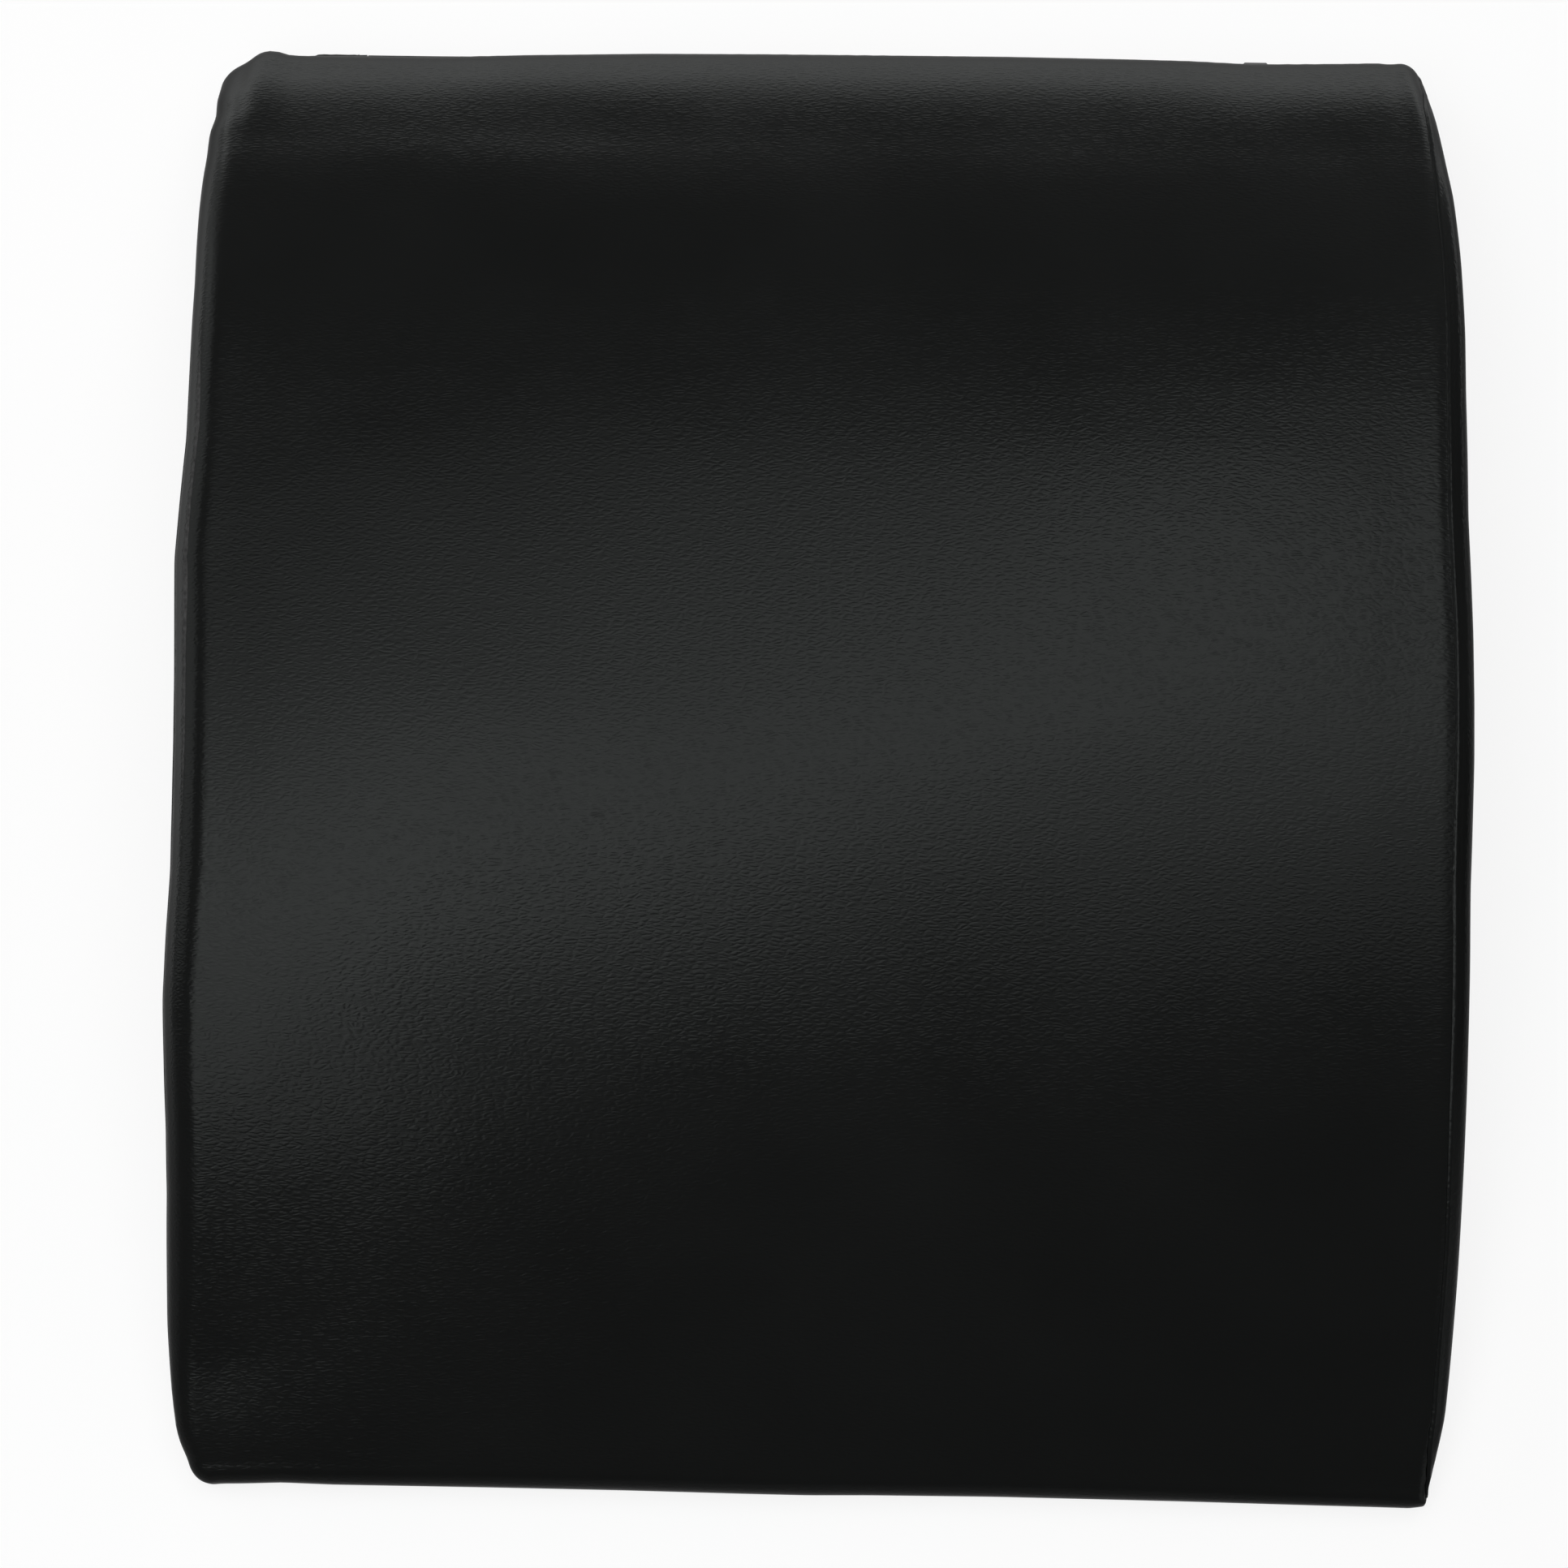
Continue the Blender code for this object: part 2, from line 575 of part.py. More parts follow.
def tapered_prism(name, tail_half, head_half, overrun, half_thickness, material):
    """A prism that is narrow at the slider's tail and widens to its head."""
    tail, head = -SLIDER_LENGTH / 2 - overrun, SLIDER_LENGTH / 2 + overrun
    waist = SLIDER_LENGTH * (SLIDER_SHOULDER_SHARE - 1.0 / 2)
    wide = SLIDER_LENGTH * (1.0 / 2 - SLIDER_SHOULDER_SHARE)
    lower = [(tail, -tail_half), (waist, -tail_half), (wide, -head_half), (head, -head_half)]
    outline = lower + [(x, -z) for x, z in reversed(lower)]
    return extrude_outline(name, outline, -half_thickness, half_thickness, "Y", material)


def make_slider(metal):
    """The slider: two plates joined by the post at the head, with the bridge for the tab.

    The channel between the plates holds both rows of teeth, and a narrow slot on each side
    lets the tapes out. The post parts the rows.
    """
    tail, head = SLIDER_TAIL_WIDTH / 2, SLIDER_HEAD_WIDTH / 2
    item = tapered_prism("zip_slider", tail, head, 0.0, SLIDER_HALF_THICKNESS, metal)
    round_edges(item, METAL_EDGE_ROUND)
    tail = BEAD_OUTER_EDGE + SLIDER_CLEARANCE
    throat = tail + THROAT_WIDENING / 2
    channel = tapered_prism("slider_channel", tail, throat, CUTTER_OVERRUN, SLIDER_GAP_HALF, metal)
    long_half = SLIDER_LENGTH / 2 + CUTTER_OVERRUN
    wide_half = SLIDER_HEAD_WIDTH / 2 + CUTTER_OVERRUN
    thin_half = TAPE_THICKNESS / 2 + SLIDER_CLEARANCE
    low = (-long_half, -thin_half, -wide_half)
    slot = make_box("slider_slot", low, (long_half, thin_half, wide_half), metal)
    combine(item, channel, "DIFFERENCE")
    combine(item, slot, "DIFFERENCE")
    post, bridge = make_slider_post(metal), make_slider_bridge(metal)
    combine(item, post, "UNION")
    combine(item, bridge, "UNION")
    for part in (item, channel, slot, post, bridge):
        part.location = (SLIDER_PLACE, TAPE_MIDDLE, ZIP_HEIGHT)
    return item


def make_slider_post(metal):
    """The diamond post that joins the slider's plates, set half into each of them."""
    head_end = POST_TAIL_END + POST_LENGTH
    widest = POST_TAIL_END + POST_LENGTH * POST_WIDEST_SHARE
    half = POST_WIDTH / 2
    diamond = [(POST_TAIL_END, 0.0), (widest, -half), (head_end, 0.0), (widest, half)]
    deep = SLIDER_GAP_HALF + SLIDER_PLATE_THICKNESS / 2
    return extrude_outline("slider_post", diamond, -deep, deep, "Y", metal)


def make_slider_bridge(metal):
    """The bridge on the slider's outer plate, high enough inside for the tab's bar to turn."""
    outer = BRIDGE_LENGTH / 2
    inner = outer - BRIDGE_THICKNESS
    chamfer = outer - BRIDGE_THICKNESS
    foot = SLIDER_HALF_THICKNESS - SLIDER_PLATE_THICKNESS / 2
    ceiling = SLIDER_HALF_THICKNESS + 2 * TAB_AXIS_RISE
    crown = ceiling + BRIDGE_THICKNESS
    outside = [(outer, foot), (outer, ceiling), (chamfer, crown)]
    outside += [(-x, y) for x, y in reversed(outside)]
    inside = [(-inner, foot), (-inner, ceiling), (inner, ceiling), (inner, foot)]
    outline = [(x - BRIDGE_TAIL_OFFSET, y) for x, y in outside + inside]
    return extrude_outline("slider_bridge", outline, -BRIDGE_WIDTH / 2, BRIDGE_WIDTH / 2, "Z", metal)


def tab_half_width(u):
    """Half the tab's width along its length: full at the eye, a waist, then the grip."""
    eye_end = tab_eye_end() + TAB_BAR_THICKNESS
    eye, waist, grip = TAB_EYE_WIDTH / 2, TAB_WAIST_WIDTH / 2, TAB_END_WIDTH / 2
    if u <= eye_end:
        return eye
    if u <= TAB_WAIST_PLACE:
        ease = (1.0 - math.cos(math.pi * (u - eye_end) / (TAB_WAIST_PLACE - eye_end))) / 2
        return eye + (waist - eye) * ease
    length = TAB_LENGTH - grip - TAB_WAIST_PLACE
    ease = (1.0 - math.cos(math.pi * min((u - TAB_WAIST_PLACE) / length, 1.0))) / 2
    return waist + (grip - waist) * ease


def tab_eye_end():
    """Where the tab's eye ends, far enough out to swing over the corner of the bridge."""
    rise = TAB_AXIS_RISE + BRIDGE_THICKNESS
    return math.hypot(BRIDGE_LENGTH / 2, rise) + TAB_EYE_CLEARANCE


def stadium_prism(name, start, end, half, deep, material):
    """A prism over a slot with round ends."""
    outline = []
    for centre, first in ((end - half, -math.pi / 2), (start + half, math.pi / 2)):
        for step in range(2 * ROUND_STEPS + 1):
            angle = first + math.pi * step / (2 * ROUND_STEPS)
            outline.append((centre + half * math.cos(angle), half * math.sin(angle)))
    return extrude_outline(name, outline, -deep, deep, "Y", material)


def make_pull_tab(metal, slider):
    """The pull tab, lying back along the teeth, with its origin on the bar that it turns on."""
    near = -TAB_BAR_THICKNESS / 2
    grip = TAB_END_WIDTH / 2
    eye_end = tab_eye_end()
    shoulder = eye_end + TAB_BAR_THICKNESS
    stops = [near, shoulder]
    stops += list(np.linspace(shoulder, TAB_WAIST_PLACE, ROUND_STEPS + 1)[1:])
    stops += list(np.linspace(TAB_WAIST_PLACE, TAB_LENGTH - grip, ROUND_STEPS + 1)[1:])
    side = [(u, tab_half_width(u)) for u in stops]
    for step in range(1, ROUND_STEPS):
        angle = math.pi / 2 * step / ROUND_STEPS
        side.append((TAB_LENGTH - grip + grip * math.sin(angle), grip * math.cos(angle)))
    outline = [(-u, w) for u, w in side] + [(-TAB_LENGTH, 0.0)] + [(-u, -w) for u, w in reversed(side)]
    half = TAB_BAR_THICKNESS / 2
    item = extrude_outline("zip_pull_tab", outline, -half, half, "Y", metal)
    round_edges(item, METAL_EDGE_ROUND)
    deep = half + CUTTER_OVERRUN
    slot_half = BRIDGE_WIDTH / 2 + TAB_EYE_CLEARANCE
    eye = make_box("tab_eye", (-eye_end, -deep, -slot_half), (near, deep, slot_half), metal)
    far = TAB_GRIP_HOLE_SETBACK - TAB_LENGTH
    round_half = TAB_GRIP_HOLE_WIDTH / 2
    hole = stadium_prism("tab_hole", far, far + TAB_GRIP_HOLE_LENGTH, round_half, deep, metal)
    for cutter in (eye, hole):
        combine(item, cutter, "DIFFERENCE")
    for part in (item, eye, hole):
        part.parent = slider
        part.location = (TAB_AXIS_X - SLIDER_PLACE, TAB_AXIS_Y - TAPE_MIDDLE, 0.0)


def main():
    """Builds every piece of the mat."""
    clear_scene()
    leather = make_material("faux_leather", (0.0095, 0.0105, 0.0105), 0.46)
    fabric = make_material("non_slip_fabric", (0.0120, 0.0120, 0.0125), 0.85)
    foam = make_material("firm_foam", (0.0600, 0.0600, 0.0620), 0.90)
    tape = make_material("woven_tape", (0.0080, 0.0080, 0.0085), 0.80)
    plastic = make_material("tooth_plastic", (0.0100, 0.0100, 0.0105), 0.35)
    metal = make_material("dark_metal", (0.0400, 0.0400, 0.0420), 0.35, 0.8)
    make_foam_core(foam)
    make_top_panel(leather)
    make_side_panel("side_panel_left", -1.0, LEFT_SEAM_TURN, leather)
    make_side_panel("side_panel_right", 1.0, RIGHT_SEAM_TURN, leather)
    make_base_panel(fabric)
    make_rear_wall(leather)
    make_tape("zip_tape_upper", 1.0, tape)
    make_tape("zip_tape_lower", -1.0, tape)
    make_teeth("zip_teeth_upper", 1.0, FIRST_TOOTH_SHARE, plastic)
    make_teeth("zip_teeth_lower", -1.0, 1.0 - FIRST_TOOTH_SHARE, plastic)
    make_stops(plastic)
    slider = make_slider(metal)
    make_pull_tab(metal, slider)


main()
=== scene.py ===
# %% [markdown]
# # Ab mat: a foam hump in a sewn faux-leather cover
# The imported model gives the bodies, joints and plain solids in metres, +Z up, with the
# thin front lip at -Y and the tall rear wall with its zip at +Y.
# The solids that stand for soft things are replaced here by finer pieces of the same form,
# and the zip's hard parts keep their solids and get better materials.

# %% Load the frame
import json
import math

import bmesh
import bpy
import numpy as np
from mathutils import Matrix, Vector

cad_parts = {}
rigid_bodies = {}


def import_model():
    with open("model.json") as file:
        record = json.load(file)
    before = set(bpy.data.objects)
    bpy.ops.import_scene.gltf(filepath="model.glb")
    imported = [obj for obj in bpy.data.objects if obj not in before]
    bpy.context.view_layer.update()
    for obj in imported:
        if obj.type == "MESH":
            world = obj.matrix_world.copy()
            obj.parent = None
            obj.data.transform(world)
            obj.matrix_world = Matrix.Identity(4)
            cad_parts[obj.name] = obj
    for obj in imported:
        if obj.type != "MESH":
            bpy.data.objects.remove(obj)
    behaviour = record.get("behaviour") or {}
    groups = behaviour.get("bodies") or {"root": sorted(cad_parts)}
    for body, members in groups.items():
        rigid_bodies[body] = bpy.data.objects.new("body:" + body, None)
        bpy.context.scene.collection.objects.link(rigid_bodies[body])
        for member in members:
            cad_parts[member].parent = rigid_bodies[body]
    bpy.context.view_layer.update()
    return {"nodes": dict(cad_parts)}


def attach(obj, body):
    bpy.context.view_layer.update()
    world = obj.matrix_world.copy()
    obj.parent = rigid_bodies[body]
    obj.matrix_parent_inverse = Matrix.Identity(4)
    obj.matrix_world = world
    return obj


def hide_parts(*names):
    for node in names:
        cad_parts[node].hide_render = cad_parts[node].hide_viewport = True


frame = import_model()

MM = 0.001

# %% [markdown]
# ## The camera
# The mat was photographed almost straight from above, a little from the front lip's side.
# The camera could be guessed and nudged, but the outline in a photograph fixes it: the
# place and turns below came from fitting the solid's outline to the photographed one, with
# a long lens as for a catalogue picture.

# %% Camera
PHOTO_PIXELS = 1932
FOCAL_PIXELS = 5900
SENSOR = 36.0
AIM = Vector((-0.00849, -0.00872, 0.030))
DISTANCE = 1.15869
TILT_ACROSS = math.radians(0.393)
TILT_FORWARD = math.radians(10.146)
ROLL_OF_CAMERA = math.radians(0.976)

backward = Vector((math.tan(TILT_ACROSS), -math.tan(TILT_FORWARD), 1.0)).normalized()
level_right = Vector((0.0, 1.0, 0.0)).cross(backward).normalized()
level_up = backward.cross(level_right)
right_hand = math.cos(ROLL_OF_CAMERA) * level_right + math.sin(ROLL_OF_CAMERA) * level_up
upward = backward.cross(right_hand)
camera_data = bpy.data.cameras.new("camera")
camera_data.sensor_width = SENSOR
camera_data.lens = SENSOR * FOCAL_PIXELS / PHOTO_PIXELS
camera_data.clip_start = 0.01
camera = bpy.data.objects.new("camera", camera_data)
place = Matrix((right_hand, upward, backward)).transposed().to_4x4()
place.translation = AIM + backward * DISTANCE
camera.matrix_world = place
bpy.context.scene.collection.objects.link(camera)
bpy.context.scene.camera = camera
bpy.context.scene.view_settings.view_transform = "Standard"
print("camera at", [round(v, 3) for v in camera.location], "lens", round(camera_data.lens, 1), "mm")

# %% [markdown]
# ## Small helpers for node trees
# Every finish below is a tree of shader nodes. One helper makes a node, sets its values
# and joins its inputs, so that a tree reads as a list of steps.


# %% Node helpers
def add_node(tree, kind, inputs=None, **settings):
    """A node of a tree. An input that is a socket is linked, and any other is a value."""
    node = tree.nodes.new(kind)
    for name, value in settings.items():
        setattr(node, name, value)
    for name, value in (inputs or {}).items():
        if isinstance(value, bpy.types.NodeSocket):
            tree.links.new(value, node.inputs[name])
        else:
            node.inputs[name].default_value = value
    return node


def grey(level, tint=(1.0, 1.0, 1.0)):
    """A colour of four numbers from a level and a tint."""
    return (*[level * part for part in tint], 1.0)


def start_material(name, specular, roughness, metallic=0.0):
    """A material with its Principled shader and the Object coordinates to draw on."""
    material = bpy.data.materials.new(name)
    material.use_nodes = True
    tree = material.node_tree
    shader = tree.nodes["Principled BSDF"]
    shader.inputs["Specular IOR Level"].default_value = specular
    shader.inputs["Roughness"].default_value = roughness
    shader.inputs["Metallic"].default_value = metallic
    place = add_node(tree, "ShaderNodeTexCoord").outputs["Object"]
    return material, tree, shader, place


def stretched(tree, place, scale):
    """Coordinates scaled differently along each axis, so that a pattern runs one way."""
    return add_node(tree, "ShaderNodeMapping", {"Vector": place, "Scale": scale}).outputs[0]


def noise(tree, place, scale, detail, roughness=0.5):
    """Soft noise between 0 and 1."""
    inputs = {"Vector": place, "Scale": scale, "Detail": detail, "Roughness": roughness}
    return add_node(tree, "ShaderNodeTexNoise", inputs).outputs["Fac"]


def map_range(tree, value, start, end, low=0.0, high=1.0, curve="SMOOTHSTEP"):
    """A value that goes from low to high while another goes from start to end."""
    inputs = {"Value": value, "From Min": start, "From Max": end, "To Min": low, "To Max": high}
    return add_node(tree, "ShaderNodeMapRange", inputs, interpolation_type=curve).outputs[0]


def combine(tree, operation, first, second):
    """Two values joined by an operation, such as their product or the larger of the two."""
    return add_node(tree, "ShaderNodeMath", {0: first, 1: second}, operation=operation).outputs[0]


def paint_between(tree, shader, share, first, second):
    """Colours a shader between two colours. Inputs 6 and 7 of the node are the colours, output 2 the mix."""
    node = add_node(tree, "ShaderNodeMix", {0: share, 6: first, 7: second}, data_type="RGBA")
    tree.links.new(node.outputs[2], shader.inputs["Base Color"])


def along_axis(tree, place, axis):
    """One coordinate of a place."""
    return add_node(tree, "ShaderNodeSeparateXYZ", {0: place}).outputs[axis]


def spread(tree, share, low, high):
    """A noise spread over another range. Noise hardly leaves the middle of 0 to 1."""
    return map_range(tree, share, 0.3, 0.7, low, high)


def bump(tree, shader, height, depth, strength):
    """Joins a height to the shader's normal, as relief of a depth in metres."""
    node = add_node(tree, "ShaderNodeBump", {"Height": height, "Distance": depth, "Strength": strength})
    tree.links.new(node.outputs[0], shader.inputs["Normal"])


def add_up(tree, first, second, weight):
    """The first value plus the second times a weight."""
    inputs = {0: second, 1: weight, 2: first}
    return add_node(tree, "ShaderNodeMath", inputs, operation="MULTIPLY_ADD").outputs[0]


# %% [markdown]
# ## Floor, surroundings and lamps
# The photograph is a cut-out on white. A white floor can be had by pouring light on it,
# which would also wash out the black cover, so instead the floor shows white only to the
# camera and in reflections, and it keeps the shadow because part of it stays a plain
# diffuse surface. Its glow in reflections is painted: painted shade keeps it dark close to
# the mat, where the mat would shade it, and a painted glow makes it brightest far out on the
# left and behind, which gives the rolled left edge its even sheen.

# %% Floor and world
FLOOR_SIZE = 12.0
FLOOR_DROP = 0.1 * MM
FLOOR_COLOUR, FLOOR_GLOW = 0.22, 0.83
WORLD_FILL, HORIZON_GLOW = 0.10, 0.30
# The surroundings fall from the horizon's glow to their fill between these heights of a ray's direction.
HORIZON_BAND = (0.02, 0.20)
# Painted glow in reflections: two places along X or Y, and the value at each. FRONT_FADE multiplies
# LEFT_GLOW. The low values close to the mat are painted shade.
LEFT_GLOW = (-0.34, -0.185, 1.68, 0.02)
FRONT_FADE = (-0.16, 0.02, 0.15, 1.0)
REAR_GLOW = (0.19, 0.34, 0.15, 1.75)


def stage_sheet(name, paint, corners):
    """A four-cornered sheet of the studio, and the node tree of its material."""
    mesh = bpy.data.meshes.new(name)
    mesh.from_pydata(corners, [], [(0, 1, 2, 3)])
    sheet = bpy.data.objects.new(name, mesh)
    bpy.context.scene.collection.objects.link(sheet)
    mesh.materials.append(bpy.data.materials.new(paint))
    mesh.materials[0].use_nodes = True
    return sheet, mesh.materials[0].node_tree


reach = FLOOR_SIZE / 2
floor_plan = ((-reach, -reach), (reach, -reach), (reach, reach), (-reach, reach))
_, tree = stage_sheet("floor", "studio_floor", [(x, y, -FLOOR_DROP) for x, y in floor_plan])
tree.nodes.remove(tree.nodes["Principled BSDF"])
rays = add_node(tree, "ShaderNodeLightPath").outputs
place = add_node(tree, "ShaderNodeTexCoord").outputs["Object"]
across, back = along_axis(tree, place, "X"), along_axis(tree, place, "Y")
left_glow, front_fade, rear_glow = [map_range(tree, value, *ends, curve="LINEAR") for value, ends in
                                    ((across, LEFT_GLOW), (back, FRONT_FADE), (back, REAR_GLOW))]
# The floor's painted glow in reflections, with painted shade close to the mat.
in_gloss = combine(tree, "MAXIMUM", combine(tree, "MULTIPLY", left_glow, front_fade), rear_glow)
seen = combine(tree, "MULTIPLY", rays["Is Glossy Ray"], in_gloss)
for ray in ("Is Camera Ray", "Is Transmission Ray"):
    seen = combine(tree, "MAXIMUM", seen, rays[ray])
glow = combine(tree, "MULTIPLY", seen, FLOOR_GLOW)
matte = add_node(tree, "ShaderNodeBsdfDiffuse", {"Color": grey(FLOOR_COLOUR)})
shine = add_node(tree, "ShaderNodeEmission", {"Color": grey(1.0), "Strength": glow})
both = add_node(tree, "ShaderNodeAddShader", {0: matte.outputs[0], 1: shine.outputs[0]})
tree.links.new(both.outputs[0], tree.nodes["Material Output"].inputs["Surface"])

world = bpy.data.worlds.new("studio")
world.use_nodes = True
bpy.context.scene.world = world
tree = world.node_tree
rays = add_node(tree, "ShaderNodeLightPath").outputs
height = along_axis(tree, add_node(tree, "ShaderNodeTexCoord").outputs["Generated"], "Z")
level = map_range(tree, height, *HORIZON_BAND, HORIZON_GLOW, WORLD_FILL)
level = combine(tree, "MAXIMUM", level, rays["Is Camera Ray"])
tree.links.new(level, tree.nodes["Background"].inputs["Color"])
print("floor of", FLOOR_SIZE, "m, world fill", WORLD_FILL)

# %% [markdown]
# The sheen on the mat is the mirror image of what hangs above it: a wide softbox over the
# middle, a slanting one that makes the bright diagonal, and a small patch at the front
# left, each at its own height because lamps in one plane hide one another in reflections.
# Low softboxes at the left and behind show only in the rolled edges and the rear drop, and
# a black card on the right keeps the right edge as dark as the photograph has it.


# %% Lamps
SOFTBOX_HEIGHT = 1.50
# Of each softbox: centre, size, what it faces (None is straight down), brightness and turn.
SOFTBOXES = {
    "fill_over": ((0.0, 0.0, 2.4), (3.0, 3.0), None, 0.35, 0.0),
    "softbox_over": ((0.0, 0.125, SOFTBOX_HEIGHT), (1.5, 1.05), None, 0.97, 15.0),
    "softbox_behind": ((0.0, 0.785, SOFTBOX_HEIGHT), (1.5, 0.27), None, 0.25, 20.0),
    "softbox_slanting": ((-0.05, 0.075, 1.44), (1.5, 0.42), None, 1.45, 41.0),
    "softbox_patch": ((-0.37, -0.10, 1.38), (0.38, 0.60), None, 0.45, 30.0),
    "softbox_front_right": ((0.95, -0.75, 0.30), (0.6, 0.5), (0.1, -0.1, 0.03), 0.5, 0.0),
    "softbox_front_left": ((-0.66, -0.78, SOFTBOX_HEIGHT), (0.7, 0.6), None, 2.2, 0.0),
    "softbox_left": ((-1.6, 0.5, 0.75), (1.5, 1.0), (0.0, 0.1, 0.05), 1.1, 0.0),
    "softbox_rear_left": ((-1.35, 1.4, 0.50), (1.1, 0.7), (0.0, 0.0, 0.05), 0.7, 0.0),
    "softbox_rear_wall": ((0.0, 1.6, 0.20), (2.4, 0.40), (0.0, 0.0, 0.10), 2.2, 0.0),
    "softbox_rear_right": ((0.95, 1.5, 0.95), (1.2, 1.1), (0.0, 0.0, 0.05), 0.22, 0.0),
}
FLAG_X, FLAG_NEAR, FLAG_FAR, FLAG_HEIGHT = 0.75, -0.20, 0.10, 0.4


def add_softbox(name, centre, size, aim, radiance, turn):
    """A rectangular lamp that faces a point, turned about the vertical by degrees.

    Its power is its brightness times its area times pi.
    """
    lamp = bpy.data.lights.new(name, "AREA")
    lamp.shape = "RECTANGLE"
    lamp.size, lamp.size_y = size
    lamp.energy = radiance * math.pi * size[0] * size[1]
    item = bpy.data.objects.new(name, lamp)
    item.location = centre
    item.rotation_mode = "QUATERNION"
    facing = (Vector(centre) - Vector(aim or (*centre[:2], 0.0))).to_track_quat("Z", "Y")
    item.rotation_quaternion = Matrix.Rotation(math.radians(turn), 3, "Z").to_quaternion() @ facing
    item.visible_camera = False
    bpy.context.scene.collection.objects.link(item)
    return item


lamps = {name: add_softbox(name, *settings) for name, settings in SOFTBOXES.items()}
lamps["fill_over"].visible_glossy = False
flag_plan = ((FLAG_NEAR, 0.0), (FLAG_FAR, 0.0), (FLAG_FAR, FLAG_HEIGHT), (FLAG_NEAR, FLAG_HEIGHT))
flag, tree = stage_sheet("black_flag", "black_card", [(FLAG_X, y, z) for y, z in flag_plan])
tree.nodes["Principled BSDF"].inputs["Base Color"].default_value = grey(0.01)
flag.visible_camera = flag.visible_diffuse = flag.visible_shadow = False
print("lamps:", list(lamps))

# %% [markdown]
# ## Faux leather
# The cover is a coated cloth: near black with a faint green cast, satin, and pressed with
# a fine grain whose creases run across the mat. A single dark colour would look like
# plastic, so the colour and the gloss drift a little, and a bump joins short cross creases
# with pebbles under a millimetre wide.


# %% Leather
LEATHER_TINT, SHEEN_TINT = (0.97, 1.02, 1.0), (0.94, 1.0, 0.98, 1.0)
DARK_LEATHER, LIGHT_LEATHER = grey(0.0078, LEATHER_TINT), grey(0.0104, LEATHER_TINT)
CREASE_WANDER = 1.1 * MM
GRAIN_DEPTH = 0.05 * MM
REAR_DROP = (0.07, 0.15)


def leather_material(name, creases):
    """Grained faux leather. creases is how often a crease comes along each axis, per metre.

    The relief is pebbles between cell edges plus creases, and less of both down the rear drop.
    """
    material, tree, shader, place = start_material(name, specular=0.15, roughness=0.26)
    drift = noise(tree, place, 26.0, detail=3.0)
    paint_between(tree, shader, drift, DARK_LEATHER, LIGHT_LEATHER)
    shader.inputs["Specular Tint"].default_value = SHEEN_TINT
    inputs = {"Vector": place, "Scale": 260.0, "Detail": 1.0}
    wander = add_node(tree, "ShaderNodeTexNoise", inputs).outputs["Color"]
    inputs = {0: wander, 1: [CREASE_WANDER] * 3, 2: place}
    shifted = add_node(tree, "ShaderNodeVectorMath", inputs, operation="MULTIPLY_ADD").outputs[0]
    inputs = {"Vector": stretched(tree, shifted, creases), "Scale": 1.0}
    cells = add_node(tree, "ShaderNodeTexVoronoi", inputs, feature="DISTANCE_TO_EDGE").outputs["Distance"]
    lumps = map_range(tree, cells, 0.0, 0.35)
    crease = noise(tree, stretched(tree, place, creases), 1.6, detail=3.0, roughness=0.6)
    slack = map_range(tree, along_axis(tree, place, "Y"), *REAR_DROP, 1.0, 0.7)
    gloss = add_up(tree, spread(tree, drift, 0.30, 0.335), slack, -0.10)
    tree.links.new(gloss, shader.inputs["Roughness"])
    relief = combine(tree, "MULTIPLY", add_up(tree, lumps, crease, 1.2), slack)
    bump(tree, shader, relief, GRAIN_DEPTH, strength=0.55)
    return material


leather_top = leather_material("faux_leather_across", (390.0, 1080.0, 1080.0))
leather_side = leather_material("faux_leather_side", (900.0, 450.0, 1050.0))
print("leather:", leather_top.name, leather_side.name)


# %% [markdown]
# ## The other finishes
# The thread and the zip's tape are dull cloth, the foam is full of small pores, the grip
# dots are soft rubber, and the zip's hard parts are satin plastic and dark metal.


# %% Cloth, foam, rubber, plastic and metal
def thread_material():
    """Twisted polyester thread: fine slanting ridges."""
    material, tree, shader, place = start_material("thread", specular=0.25, roughness=0.62)
    inputs = {"Vector": place, "Scale": 620.0}
    twist = add_node(tree, "ShaderNodeTexWave", inputs, bands_direction="DIAGONAL").outputs["Fac"]
    # The twist's grooves are painted darker than its ridges, as painted shade.
    paint_between(tree, shader, twist, grey(0.012), grey(0.030))
    bump(tree, shader, twist, 0.08 * MM, strength=0.5)
    return material


def weave_material(name, axes, pitch, dark, light, depth):
    """Plain weave: ridges along two axes of the cloth's plane, with the higher of the two on top."""
    material, tree, shader, place = start_material(name, specular=0.2, roughness=0.85)
    inputs = {"Vector": place, "Scale": 1.0 / pitch / math.tau, "Distortion": 0.3}
    ridges = [add_node(tree, "ShaderNodeTexWave", inputs, bands_direction=axis) for axis in axes]
    top = combine(tree, "MAXIMUM", ridges[0].outputs["Fac"], ridges[1].outputs["Fac"])
    # The colour follows the ridges: the hollows between threads are painted darker and the crests lighter, as
    # painted shade and highlight.
    paint_between(tree, shader, top, grey(dark), grey(light))
    shader.inputs["Sheen Weight"].default_value = 0.15
    bump(tree, shader, top, depth, strength=0.6)
    return material


def speckled_material(name, specular, roughness, grain, dark, light, depth, metallic=0.0):
    """A plain substance with a fine grain: rubber, moulded plastic, foam or cast metal."""
    material, tree, shader, place = start_material(name, specular, roughness, metallic)
    speck = noise(tree, place, grain, detail=4.0, roughness=0.6)
    paint_between(tree, shader, speck, dark, light)
    tree.links.new(spread(tree, speck, roughness - 0.05, roughness + 0.07), shader.inputs["Roughness"])
    bump(tree, shader, speck, depth, strength=0.4)
    return material


def foam_material():
    """Firm closed-cell foam: dark grey, with pores of about a millimetre."""
    material, tree, shader, place = start_material("foam", specular=0.2, roughness=0.9)
    pores = add_node(tree, "ShaderNodeTexVoronoi", {"Vector": place, "Scale": 900.0}).outputs["Distance"]
    # The pores are painted darker than the cell walls between them, as painted shade in the hollows.
    paint_between(tree, shader, pores, grey(0.03), grey(0.075))
    bump(tree, shader, pores, 0.4 * MM, strength=0.7)
    return material


